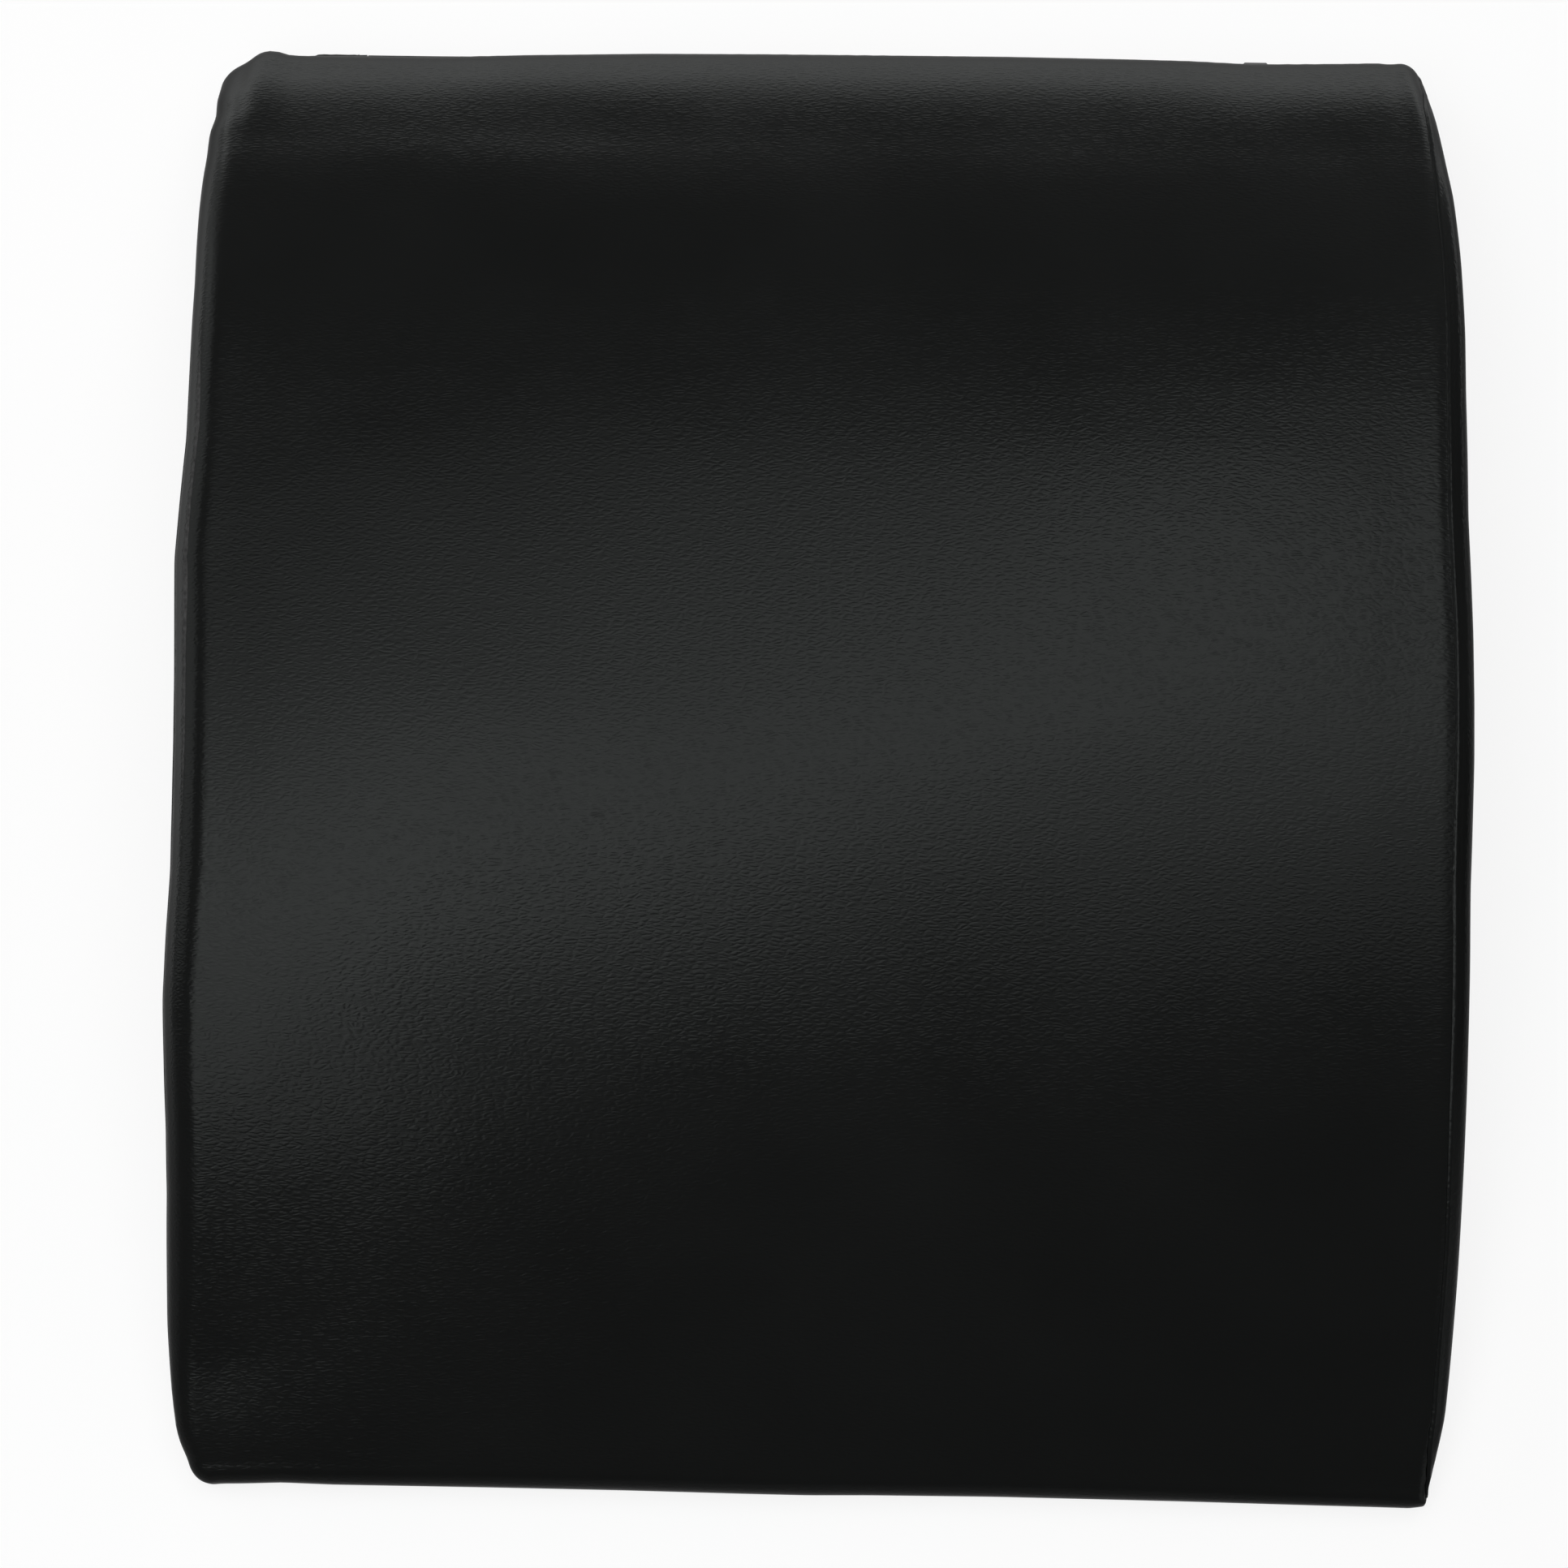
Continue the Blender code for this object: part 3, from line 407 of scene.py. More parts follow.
thread = thread_material()
zip_cloth = weave_material("zip_tape_cloth", "XZ", 0.6 * MM, 0.006, 0.016, 0.10 * MM)
base_cloth = weave_material("base_cloth", "XY", 0.9 * MM, 0.008, 0.018, 0.15 * MM)
grip_rubber = speckled_material("grip_rubber", 0.3, 0.7, 900.0, grey(0.010), grey(0.016), 0.05 * MM)
zip_plastic = speckled_material("zip_plastic", 0.45, 0.38, 1400.0, grey(0.010), grey(0.015), 0.03 * MM)
gunmetal = speckled_material("gunmetal", 0.5, 0.34, 700.0, grey(0.10), grey(0.14), 0.03 * MM, metallic=1.0)
foam_finish = foam_material()
print("materials:", sorted(material.name for material in bpy.data.materials))

# %% [markdown]
# ## The mat's outline
# Seen from the side the mat is one closed curve: a low front wall, a small round shoulder,
# two long curves that meet level at the crest, a larger shoulder and the rear wall. The
# curve could be drawn by hand, but it is worked out from the sizes of the solid, so the
# fine cover lies exactly where the plain one does.

# %% Outline from the side
LENGTH = 355 * MM
HALF_LENGTH = LENGTH / 2
END_HALF_WIDTH = 150.25 * MM
BULGE, BULGE_POWER = 3.9 * MM, 6
CROWN = 1.5 * MM
ROLL = 6.0 * MM
# The left side's extra roll: how much, its start and end along the outline, and its ramp.
LEFT_EXTRA_ROLL, EXTRA_START, EXTRA_END, EXTRA_RAMP = 3.5 * MM, 14 * MM, 26 * MM, 45 * MM
TUCK = 3.0 * MM
LOWER_EDGE = 1.3 * MM
LEATHER = 1.2 * MM
GAP = 0.3 * MM
FRONT_SHOULDER, REAR_SHOULDER = 6.5 * MM, 9.0 * MM
FRONT_SLOPE, REAR_SLOPE = math.radians(25.0), math.radians(36.0)
FRONT_LIP, REAR_SEAM = 14.0 * MM, 21.0 * MM
CREST = np.array((-HALF_LENGTH + 0.53 * LENGTH, 63.0 * MM))
# How far each long curve keeps its direction at its two ends, as shares of its length along Y.
CLIMB_HANDLES, FALL_HANDLES = (0.36, 0.42), (0.50, 0.30)
ROUND_STEPS, CURVE_STEPS = 60, 400


def arc(centre, radius, start, end, steps):
    """Points along an arc, and the angle of the normal at each, from +Y towards +Z."""
    angles = np.linspace(start, end, steps)
    return np.array(centre) + radius * np.stack((np.cos(angles), np.sin(angles)), 1), angles


def bezier(start, start_handle, end_handle, end, steps):
    """A cubic curve: each point is a weighted mean of four. The normal is a quarter turn from its run."""
    t = np.linspace(0.0, 1.0, steps)[:, None]
    s = 1.0 - t
    points = s**3 * start + 3 * s**2 * t * start_handle + 3 * s * t**2 * end_handle + t**3 * end
    run = s**2 * (start_handle - start) + 2 * s * t * (end_handle - start_handle) + t**2 * (end - end_handle)
    return points, np.arctan2(run[:, 1], run[:, 0]) + math.pi / 2


front_centre = (-HALF_LENGTH + FRONT_SHOULDER, FRONT_LIP - FRONT_SHOULDER)
front_round = arc(front_centre, FRONT_SHOULDER, math.pi, math.pi / 2 + FRONT_SLOPE, ROUND_STEPS)
rear_centre = (HALF_LENGTH - REAR_SHOULDER, REAR_SEAM)
rear_round = arc(rear_centre, REAR_SHOULDER, math.pi / 2 - REAR_SLOPE, 0.0, ROUND_STEPS)
front_foot, rear_foot = front_round[0][-1], rear_round[0][0]
front_run, rear_run = CREST[0] - front_foot[0], rear_foot[0] - CREST[0]
uphill = np.array((math.cos(FRONT_SLOPE), math.sin(FRONT_SLOPE)))
downhill = np.array((math.cos(REAR_SLOPE), -math.sin(REAR_SLOPE)))
level_run = np.array((1.0, 0.0))
climb = bezier(front_foot, front_foot + uphill * front_run * CLIMB_HANDLES[0],
               CREST - level_run * front_run * CLIMB_HANDLES[1], CREST, CURVE_STEPS)
fall = bezier(CREST, CREST + level_run * rear_run * FALL_HANDLES[0],
              rear_foot - downhill * rear_run * FALL_HANDLES[1], rear_foot, CURVE_STEPS)
front_wall = (np.array([[-HALF_LENGTH, LOWER_EDGE]]), np.array([math.pi]))
rear_wall = (np.array([[HALF_LENGTH, LOWER_EDGE]]), np.array([0.0]))
stretches = (front_wall, front_round, climb, fall, rear_round, rear_wall)
outline_points = np.concatenate([points for points, _ in stretches])
outline_angles = np.concatenate([angles for _, angles in stretches])
steps_between = np.linalg.norm(np.diff(outline_points, axis=0), axis=1)
# Stretches share their end points, so a hair is added to every step to keep the run rising.
outline_run = np.concatenate(([0.0], np.cumsum(steps_between + 1e-9)))
RUN_TOTAL = outline_run[-1]
RUN_REAR_SEAM = RUN_TOTAL - (REAR_SEAM - LOWER_EDGE)
RUN_FRONT_WALL = FRONT_LIP - FRONT_SHOULDER - LOWER_EDGE
print("the outline runs", round(RUN_TOTAL / MM, 1), "mm over the hump")


def outline_at(run):
    """Place and normal on the outline after a run from its front lower edge."""
    y = np.interp(run, outline_run, outline_points[:, 0])
    z = np.interp(run, outline_run, outline_points[:, 1])
    angle = np.interp(run, outline_run, outline_angles)
    return y, z, np.cos(angle), np.sin(angle)


def smooth_step(value, low, high):
    """0 below low, 1 above high, and a soft curve between."""
    t = np.clip((value - low) / (high - low), 0.0, 1.0)
    return t * t * (3.0 - 2.0 * t)


def bell(value, middle, width):
    """1 at the middle and soft towards 0: e to the minus square of the distance over the width."""
    return np.exp(-(((value - middle) / width) ** 2))


def joined(*parts):
    """Arrays spread over one grid and joined along a last axis, such as coordinates into points."""
    return np.stack(np.broadcast_arrays(*parts), -1)


def half_width(spine_y):
    """Half the width of the cover: a little more in the middle of each side than at its ends."""
    share = np.minimum(np.abs(spine_y) / (HALF_LENGTH - ROLL), 1.0)
    return END_HALF_WIDTH + BULGE * (1.0 - share**BULGE_POWER)


def roll_radius(run, side):
    """Radius of the rolled side edge: larger along the middle of the left side, where the seam lies low."""
    along = smooth_step(np.minimum(run - EXTRA_START, RUN_TOTAL - EXTRA_END - run), 0.0, EXTRA_RAMP)
    return ROLL + np.where(np.asarray(side) < 0, LEFT_EXTRA_ROLL, 0.0) * along


def tuck(z):
    """How far the cover draws in near the floor, along a quarter round."""
    short = np.clip(TUCK - z, 0.0, TUCK)
    return TUCK - np.sqrt(TUCK**2 - short**2)


# %% [markdown]
# The photographed cover isn't quite symmetrical: its left edge steps out twice, the rear
# edge is drawn in along its left half but for a small ear at the corner, and the rear
# right corner is rounder. A few offsets in millimetres at places along each edge carry
# that, and they fade out towards the middle of the mat and towards the zip.

# %% Uneven edges
LEFT_EDGE = ((-178, 1.4), (-172, 0.8), (-168, -0.5), (-165, -1.15), (-155, -1.45), (-140, -1.45),
             (-125, -0.8), (-110, -0.25), (-95, -0.25), (-80, -0.65), (-65, -0.95), (-50, -0.3),
             (-35, 0.5), (-20, 0.55), (-5, 0.4), (10, 0.0), (25, -0.55), (40, -1.1), (55, -0.4),
             (70, 0.4), (85, 0.2), (100, -0.05), (110, -0.2), (120, -0.65), (130, -1.1), (138, -1.3),
             (146, -1.2), (154, -1.75), (160, -1.2), (166, -2.2), (172, -2.4), (178, -1.5))
RIGHT_EDGE = ((-178, 0.4), (-175, -0.7), (-172, -1.4), (-165, -0.8), (-155, 0.4), (-140, 0.42),
              (-110, 0.35), (-65, 0.45), (-35, 0.25), (-20, 0.6), (-5, 1.05), (10, 1.2), (25, 1.1),
              (40, 0.7), (55, 0.2), (85, 0.3), (100, 0.65), (120, 0.7), (138, 0.3), (146, -0.28),
              (154, -0.65), (160, -0.9), (166, -1.45), (170, -1.85), (178, -2.6))
REAR_EDGE = ((-155, -5.0), (-148, -4.4), (-146, -4.05), (-144.7, -3.8), (-143.5, -2.6), (-142.3, -1.3),
             (-141.1, -0.6), (-139.5, -0.2), (-138.5, -0.1), (-137.5, -0.2), (-136.3, -0.9),
             (-135, -1.3), (-133.9, -1.4), (-132, -1.45), (-128, -1.4), (-120, -1.35), (-110, -1.35),
             (-100, -1.3), (-90, -1.0), (-75, -0.4), (-60, 0.0), (-45, 0.4), (-15, 0.7), (45, 0.97),
             (75, 0.8), (90, 0.6), (105, 0.0), (120, 0.3), (130, 0.55), (138, 0.8), (142, 0.5),
             (146, 0.95), (155, 1.2))
FRONT_EDGE = ((-155, 1.0), (-146, 0.57), (-143, 0.2), (-138, 0.1), (-134, -0.05), (-128, -0.3),
              (-115, 0.0), (-75, 0.05), (-45, 0.2), (-15, 0.55), (0, 0.65), (15, 0.4), (45, 0.25),
              (90, 0.6), (120, 1.0), (138, 1.2), (144, 1.3), (146.5, 1.35), (148.5, 2.6), (150, 4.3),
              (155, 4.8))
RIGHT_SEAM = ((-178, 76), (-174, 66), (-170, 51), (-167, 41), (-162.6, 29), (-155, 22), (-147, 19),
              (-120, 20), (-90, 12.5), (-58, 12), (-23, 8), (25, 8), (41, 6), (133, 6), (139, 9),
              (148, 16.7), (159, 24.6), (164, 27), (169, 46), (178, 60))
# How much of the rear edge's shift reaches a height in millimetres. None of it reaches the zip.
REAR_FADE = ((18.0, 0.0), (19.8, 0.15), (20.7, 0.5), (22.0, 0.85), (24.0, 1.0))
# Distances from the middle between which the shifts of the sides, the rear and the lip fade in.
# The sides' start lies further out at the rear, by SIDE_START_BEHIND.
SIDE_START, SIDE_START_BEHIND, SIDE_FULL = 100 * MM, 27 * MM, 148 * MM
REAR_START, REAR_FULL = 0.14, 0.175
LIP_START, LIP_FULL = 0.13, 0.175


def smooth_table(table, place):
    """A smooth value at a place in metres, from pairs of place in millimetres and value."""
    at, value = np.array(table).T
    fine = np.linspace(at[0], at[-1], 360)
    kernel = np.hanning(7) / np.hanning(7).sum()
    widened = np.pad(np.interp(fine, at, value), 3, mode="edge")
    return np.interp(place, fine * MM, np.convolve(widened, kernel, "valid"))


def right_seam(run):
    """How far round the right roll the seam lies, in radians: further at both ends."""
    return np.radians(smooth_table(RIGHT_SEAM, outline_at(run)[0]))


def settle(points):
    """The cover's points, moved by the uneven edges. At the corners the rear shift reaches lower down."""
    x, y, z = points[..., 0], points[..., 1], points[..., 2]
    ramp = SIDE_START + SIDE_START_BEHIND * smooth_step(y, 150 * MM, 168 * MM)
    to_left, to_right = smooth_step(-x, ramp, SIDE_FULL), smooth_step(x, ramp, SIDE_FULL)
    heights, shares = np.array(REAR_FADE).T
    high = np.interp(z, heights * MM, shares)
    corner = smooth_step(np.abs(x), 128 * MM, 131 * MM)
    high = high + (smooth_step(z, 5 * MM, 24 * MM) - high) * corner
    behind = smooth_step(y, REAR_START, REAR_FULL) * high
    before_lip = smooth_step(-y, LIP_START, LIP_FULL)
    shift_x = smooth_table(LEFT_EDGE, y) * to_left + smooth_table(RIGHT_EDGE, y) * to_right
    shift_y = smooth_table(REAR_EDGE, x) * behind - smooth_table(FRONT_EDGE, x) * before_lip
    return points + MM * joined(shift_x, shift_y, 0.0)


# %% [markdown]
# ## Making a mesh from a grid of points
# A surface is a grid of points, rows by columns, and each cell between four points is one
# face. A closed tube joins its last column to its first. The faces point to the side from
# which the columns run left to right as the rows go up, and a switch turns them over.


# %% Grids
def grid_cells(rows, columns, closed=False, turned=False):
    """The four corner numbers of every cell of a grid that is stored row by row."""
    row = np.arange(rows - 1)[:, None]
    column = np.arange(columns if closed else columns - 1)[None, :]
    after = (column + 1) % columns
    here, above = row * columns, (row + 1) * columns
    cells = joined(here + column, here + after, above + after, above + column).reshape(-1, 4)
    return cells[:, ::-1] if turned else cells


def tube_faces(points):
    """Cells round a closed tube of points, and the two faces that close its ends."""
    rows, columns = points.shape[:2]
    ends = [range(columns), range(rows * columns - 1, (rows - 1) * columns - 1, -1)]
    return grid_cells(rows, columns, closed=True, turned=True), ends


def face_list(cells, extra_faces):
    """Cells and other faces as one list of plain corner numbers."""
    return [tuple(map(int, face)) for face in (*cells, *extra_faces)]


def add_piece(name, points, cells, material, body="mat", replaces=(), extra_faces=()):
    """A piece from points and cells, shaded smooth, that rides on a body."""
    mesh = bpy.data.meshes.new(name)
    mesh.from_pydata(points.reshape(-1, 3).tolist(), [], face_list(cells, extra_faces))
    mesh.shade_smooth()
    mesh.materials.append(material)
    piece = bpy.data.objects.new(name, mesh)
    bpy.context.scene.collection.objects.link(piece)
    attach(piece, body)
    if replaces:
        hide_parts(*replaces)
    return piece


def rework(piece, change):
    """Changes the mesh of a piece by a function."""
    shape = bmesh.new()
    shape.from_mesh(piece.data)
    change(shape)
    shape.to_mesh(piece.data)
    shape.free()


def weld(piece, distance):
    """Joins points of a mesh that lie within a distance of one another."""
    rework(piece, lambda shape: bmesh.ops.remove_doubles(shape, verts=shape.verts, dist=distance))


def fix_outward(piece):
    """Turns the faces of a closed mesh outwards."""
    rework(piece, lambda shape: bmesh.ops.recalc_face_normals(shape, faces=shape.faces))


def add_panel(name, points, cells, material, node):
    """A padded sheet of leather in the place of a node, as thick as leather inwards."""
    piece = add_piece(name, points, cells, material, replaces=[node])
    solid = piece.modifiers.new("thickness", "SOLIDIFY")
    solid.thickness = LEATHER
    solid.offset = -1.0
    solid.use_quality_normals = True
    print(name, len(piece.data.vertices), "points")
    return piece


def add_tube(name, points, material, node):
    """A closed tube of points with closed ends, in the place of a node."""
    cells, ends = tube_faces(points)
    piece = add_piece(name, points, cells, material, replaces=[node], extra_faces=ends)
    fix_outward(piece)
    return piece


def add_copies(name, rings, places, material):
    """One small tube, given as rings of points, set down at many places as one mesh."""
    count = rings.shape[0] * rings.shape[1]
    cells, ends = tube_faces(rings)
    offsets = np.arange(len(places))[:, None, None] * count
    cells = (cells + offsets).reshape(-1, 4)
    ends = (np.array(ends) + offsets).reshape(-1, rings.shape[1])
    points = np.asarray(places)[:, None, None, :] + rings
    fix_outward(add_piece(name, points, cells, material, extra_faces=ends))


def bunched(start, end, spacing, fine, zones):
    """Numbers from start to end, about spacing apart, and fine apart within the given zones."""
    dense = np.linspace(start, end, 4000)
    step = np.full_like(dense, spacing)
    for middle, width in zones:
        near = np.exp(-(((dense - middle) / width) ** 4))
        step = np.minimum(step, spacing + (fine - spacing) * near)
    count = np.concatenate(([0.0], np.cumsum((end - start) / 3999 / step[1:])))
    whole = max(int(round(count[-1])), 2)
    return np.interp(np.linspace(0.0, count[-1], whole + 1), count, dense)


# %% [markdown]
# ## The foam's body
# The foam hump can be lofted: at each place along the mat its cross-section is flat below,
# straight at the sides, rolled at the top edges and slightly crowned. The same loft, a
# touch smaller than the cover, is also the pad that the cloth simulation blows up.


# %% Loft of cross-sections
FOAM_INSET, FOAM_REAR = 2.6 * MM, 172.6 * MM
CORNER_STEPS, WALL_STEPS = 6, 5


def hump_loft(inset, rear_face, stations, across, floor_height):
    """Points of the loft, one row for each cross-section.

    y runs from the front wall to the rear face, closest together at both ends. In each
    section a corner parameter turns from the side to the top, and x runs across the top.
    """
    on_hump = (outline_run >= RUN_FRONT_WALL) & (outline_run <= RUN_REAR_SEAM)
    places, angles = outline_points[on_hump], outline_angles[on_hump]
    normals = np.stack((np.cos(angles), np.sin(angles)), 1)
    inner, middle_line = places - inset * normals, places - ROLL * normals
    front = -HALF_LENGTH + inset
    y = front + (rear_face - front) * (1.0 - np.cos(np.linspace(0.0, math.pi, stations))) / 2
    radius = ROLL - inset
    short = np.clip(radius - np.minimum(y - front, rear_face - y), 0.0, radius)
    corner = radius - np.sqrt(radius**2 - short**2)
    half = half_width(np.clip(y, ROLL - HALF_LENGTH, HALF_LENGTH - ROLL)) - inset - corner
    top = np.interp(y, inner[:, 0], inner[:, 1])
    middle = np.interp(y, middle_line[:, 0], middle_line[:, 1])
    turn = np.linspace(math.pi / 2, 0.0, CORNER_STEPS)
    share = np.linspace(1.0, -1.0, across)[1:-1]
    rise = (top - CROWN - middle)[:, None] * np.cos(turn)
    roll_x = (half - radius)[:, None] + radius * np.sin(turn)
    roll_z = middle[:, None] + rise
    wall_z = floor_height + (middle - floor_height)[:, None] * np.linspace(0.0, 0.8, WALL_STEPS)
    wall_x = np.broadcast_to(half[:, None], wall_z.shape)
    top_x = (half - radius)[:, None] * share
    top_z = (top[:, None] - CROWN * share**2) * np.ones_like(top_x)
    under_x = half[:, None] * np.linspace(-1.0, 1.0, across)[1:-1]
    under_z = np.full_like(under_x, floor_height)
    x = np.concatenate((wall_x, roll_x, top_x, -roll_x[:, ::-1], -wall_x[:, ::-1], under_x), 1)
    z = np.concatenate((wall_z, roll_z, top_z, roll_z[:, ::-1], wall_z[:, ::-1], under_z), 1)
    return joined(x, y[:, None], z)


foam_loft = settle(hump_loft(FOAM_INSET, FOAM_REAR, 110, 90, LOWER_EDGE + GAP))
foam_body = add_tube("foam_body", foam_loft, foam_finish, "foam_core")
print("foam body:", len(foam_body.data.vertices), "points")

# %% [markdown]
# ## Blowing up the cover
# A sewn cover over foam is tight: it stands up between its seams and is drawn in at them.
# That swelling could be painted on, but Blender's cloth solver gives it for free: a pad a
# little smaller than the cover is remeshed evenly, held along the seams and the base, and
# blown up by inner pressure. What each point moves, up to a cap, is kept as a relief map
# that the fine panels below take up.

# %% Cloth simulation of the pad
PAD_INSET = 1.1 * MM
SWELL_CAP = 1.3 * MM
SIDE_EASE = 1.0 * MM
# How far round the roll the seams are held. The right panel's own seam follows RIGHT_SEAM instead.
RIGHT_SEAM_TURN, LEFT_SEAM_TURN = math.radians(8.6), math.radians(78.0)
# How far from a seam, and from the base or an edge, the pad is held.
HELD_RIGHT, HELD_SEAM, HELD_EDGE = 3.2 * MM, 3.0 * MM, 4.0 * MM
MAP_STEP = 5.0 * MM
TOP_EXTENT, SIDE_EXTENT = (160 * MM, 180 * MM), (180 * MM, 65 * MM)
# How much a square of a map counts as held still, beside the points that fall in it.
STILL_WEIGHT = 0.001


def pad_points(voxel):
    """The pad remeshed evenly, as a new object."""
    loft = hump_loft(PAD_INSET, HALF_LENGTH - PAD_INSET, 90, 60, LOWER_EDGE)
    mesh = bpy.data.meshes.new("pad")
    mesh.from_pydata(loft.reshape(-1, 3).tolist(), [], face_list(*tube_faces(loft)))
    pad = bpy.data.objects.new("pad", mesh)
    bpy.context.scene.collection.objects.link(pad)
    remesh = pad.modifiers.new("even", "REMESH")
    remesh.mode = "VOXEL"
    remesh.voxel_size = voxel
    evened = bpy.data.meshes.new_from_object(pad.evaluated_get(bpy.context.evaluated_depsgraph_get()))
    pad.modifiers.clear()
    pad.data = evened
    return pad


def mesh_arrays(mesh):
    """Points and normals of a mesh as arrays."""
    points, normals = np.zeros(len(mesh.vertices) * 3), np.zeros(len(mesh.vertices) * 3)
    mesh.vertices.foreach_get("co", points)
    mesh.vertices.foreach_get("normal", normals)
    return points.reshape(-1, 3), normals.reshape(-1, 3)


def near_seams(points):
    """Which points of the pad lie by a seam or on the base."""
    x, y, z = points.T
    spine_run = np.linspace(RUN_FRONT_WALL, RUN_REAR_SEAM, 400)
    oy, oz, ny, nz = outline_at(spine_run)
    spine_z = np.interp(y, oy - ROLL * ny, oz - ROLL * nz)
    half = half_width(np.clip(y, ROLL - HALF_LENGTH, HALF_LENGTH - ROLL))
    right_line = half - ROLL + ROLL * math.sin(RIGHT_SEAM_TURN)
    right = (np.abs(x - right_line) < HELD_RIGHT) & (z > spine_z)
    left = (x < -half + HELD_EDGE) & (np.abs(z - spine_z - ROLL * math.cos(LEFT_SEAM_TURN)) < HELD_SEAM)
    rear = (y > HALF_LENGTH - HELD_EDGE) & (np.abs(z - REAR_SEAM) < HELD_SEAM)
    return right | left | rear | (z < HELD_EDGE)


def blow_up(pad, frames, pressure):
    """Runs the cloth solver with the seams held, and returns how far each point moved."""
    before, normals = mesh_arrays(pad.data)
    held = pad.vertex_groups.new(name="held")
    held.add(np.flatnonzero(near_seams(before)).tolist(), 1.0, "REPLACE")
    cloth = pad.modifiers.new("cloth", "CLOTH")
    cloth.settings.vertex_group_mass = "held"
    cloth.settings.use_pressure = True
    cloth.settings.uniform_pressure_force = pressure
    cloth.settings.effector_weights.gravity = 0.0
    cloth.point_cache.frame_start, cloth.point_cache.frame_end = 1, frames
    for frame_number in range(1, frames + 1):
        bpy.context.scene.frame_set(frame_number)
    blown = pad.evaluated_get(bpy.context.evaluated_depsgraph_get()).to_mesh()
    after, _ = mesh_arrays(blown)
    pad.modifiers.remove(cloth)
    bpy.context.scene.frame_set(1)
    return before, normals, after - before


def map_size(extent):
    """How many squares a map has along each axis. It reaches as far to both sides of the middle."""
    return [int(round(2 * half / MAP_STEP)) + 1 for half in extent]


def relief_map(u, v, value, extent):
    """Scattered values as a smooth map: a sum in each square, softened, over the softened count.

    Squares that nothing falls in count as held still.
    """
    size = map_size(extent)
    total, count = np.zeros(size), np.zeros(size)
    cell = (np.clip(np.round((u + extent[0]) / MAP_STEP).astype(int), 0, size[0] - 1),
            np.clip(np.round((v + extent[1]) / MAP_STEP).astype(int), 0, size[1] - 1))
    np.add.at(total, cell, value)
    np.add.at(count, cell, 1.0)
    kernel = np.exp(-(np.arange(-4, 5) / 1.6) ** 2)
    for axis in (0, 1):
        total = np.apply_along_axis(np.convolve, axis, total, kernel, "same")
        count = np.apply_along_axis(np.convolve, axis, count, kernel, "same")
    return (total - STILL_WEIGHT * SWELL_CAP) / (count + STILL_WEIGHT)


def read_map(table, u, v, extent):
    """The map's value at any place, from the four squares round it."""
    a = np.clip((u + extent[0]) / MAP_STEP, 0.0, table.shape[0] - 1.001)
    b = np.clip((v + extent[1]) / MAP_STEP, 0.0, table.shape[1] - 1.001)
    i, j = a.astype(int), b.astype(int)
    a, b = a - i, b - j
    near = table[i, j] * (1 - b) + table[i, j + 1] * b
    far = table[i + 1, j] * (1 - b) + table[i + 1, j + 1] * b
    return near * (1 - a) + far * a


swell_top = np.zeros(map_size(TOP_EXTENT))
swell_sides = {side: np.zeros(map_size(SIDE_EXTENT)) for side in (-1.0, 1.0)}
pad = pad_points(voxel=5.0 * MM)
before, normals, moved = blow_up(pad, frames=20, pressure=4.0)
length = np.linalg.norm(moved, axis=1)
moved *= np.minimum(1.0, SWELL_CAP / np.maximum(length, 1e-9))[:, None]
outward = np.sum(moved * normals, axis=1) - SWELL_CAP
up = normals[:, 2] > 0.5
swell_top = relief_map(before[up, 0], before[up, 1], outward[up], TOP_EXTENT)
for side in (-1.0, 1.0):
    beside = normals[:, 0] * side > 0.6
    flank = relief_map(before[beside, 1], before[beside, 2], outward[beside], SIDE_EXTENT)
    swell_sides[side] = SIDE_EASE + flank
print("pad of", len(before), "points moved up to", round(length.max() / MM, 2), "mm; kept to",
      round(SWELL_CAP / MM, 1), "mm")
bpy.data.objects.remove(pad, do_unlink=True)


def swell(points, out):
    """The relief of the simulated pad at some points, shared between the maps by where the surface faces."""
    x, y, z = points[..., 0], points[..., 1], points[..., 2]
    ends = 1.0 - smooth_step(np.abs(y), 148 * MM, 170 * MM)
    top = read_map(swell_top, x, y, TOP_EXTENT) * ends
    left = read_map(swell_sides[-1.0], y, z, SIDE_EXTENT)
    right = read_map(swell_sides[1.0], y, z, SIDE_EXTENT)
    return top * out[..., 2] ** 2 + np.where(x < 0, left, right) * out[..., 0] ** 2


# %% [markdown]
# ## Seams and slack
# Along a seam the sheet sinks to the stitching over about two millimetres, and the side's
# folded edge stands up beside it as a thin ridge. Small puckers cross the seam every
# few millimetres. Over the whole mat the foam isn't quite even, so the sheen on it wavers.

# %% Relief
SEAM_DEPTH, SEAM_WIDTH = 0.24 * MM, 1.70 * MM
FOLD_WIDTH = 0.50 * MM
RIDGE_HEIGHT, RIDGE_PLACE, RIDGE_WIDTH = 0.18 * MM, 1.00 * MM, 0.70 * MM
PUCKER_PITCH, PUCKER_REACH = 4.2 * MM, 2.6 * MM
# Of each slow hump of the foam: its height in millimetres, its middle, and its reach along X and Y.
HUMPS = ((0.9, -0.100, -0.080, 0.055, 0.040), (0.6, 0.090, -0.095, 0.055, 0.040))


def foam_unevenness(x, y):
    """Slow swellings and hollows of the foam, about a millimetre high: a few waves and the humps."""
    relief = 0.20 * np.sin(x / 0.036 + 1.1) * np.sin(y / 0.050 + 0.4) + 0.12 * np.sin(x / 0.021 - y / 0.034)
    for height, middle_x, middle_y, wide, deep in HUMPS:
        relief = relief + height * bell(x, middle_x, wide) * bell(y, middle_y, deep)
    return relief * MM


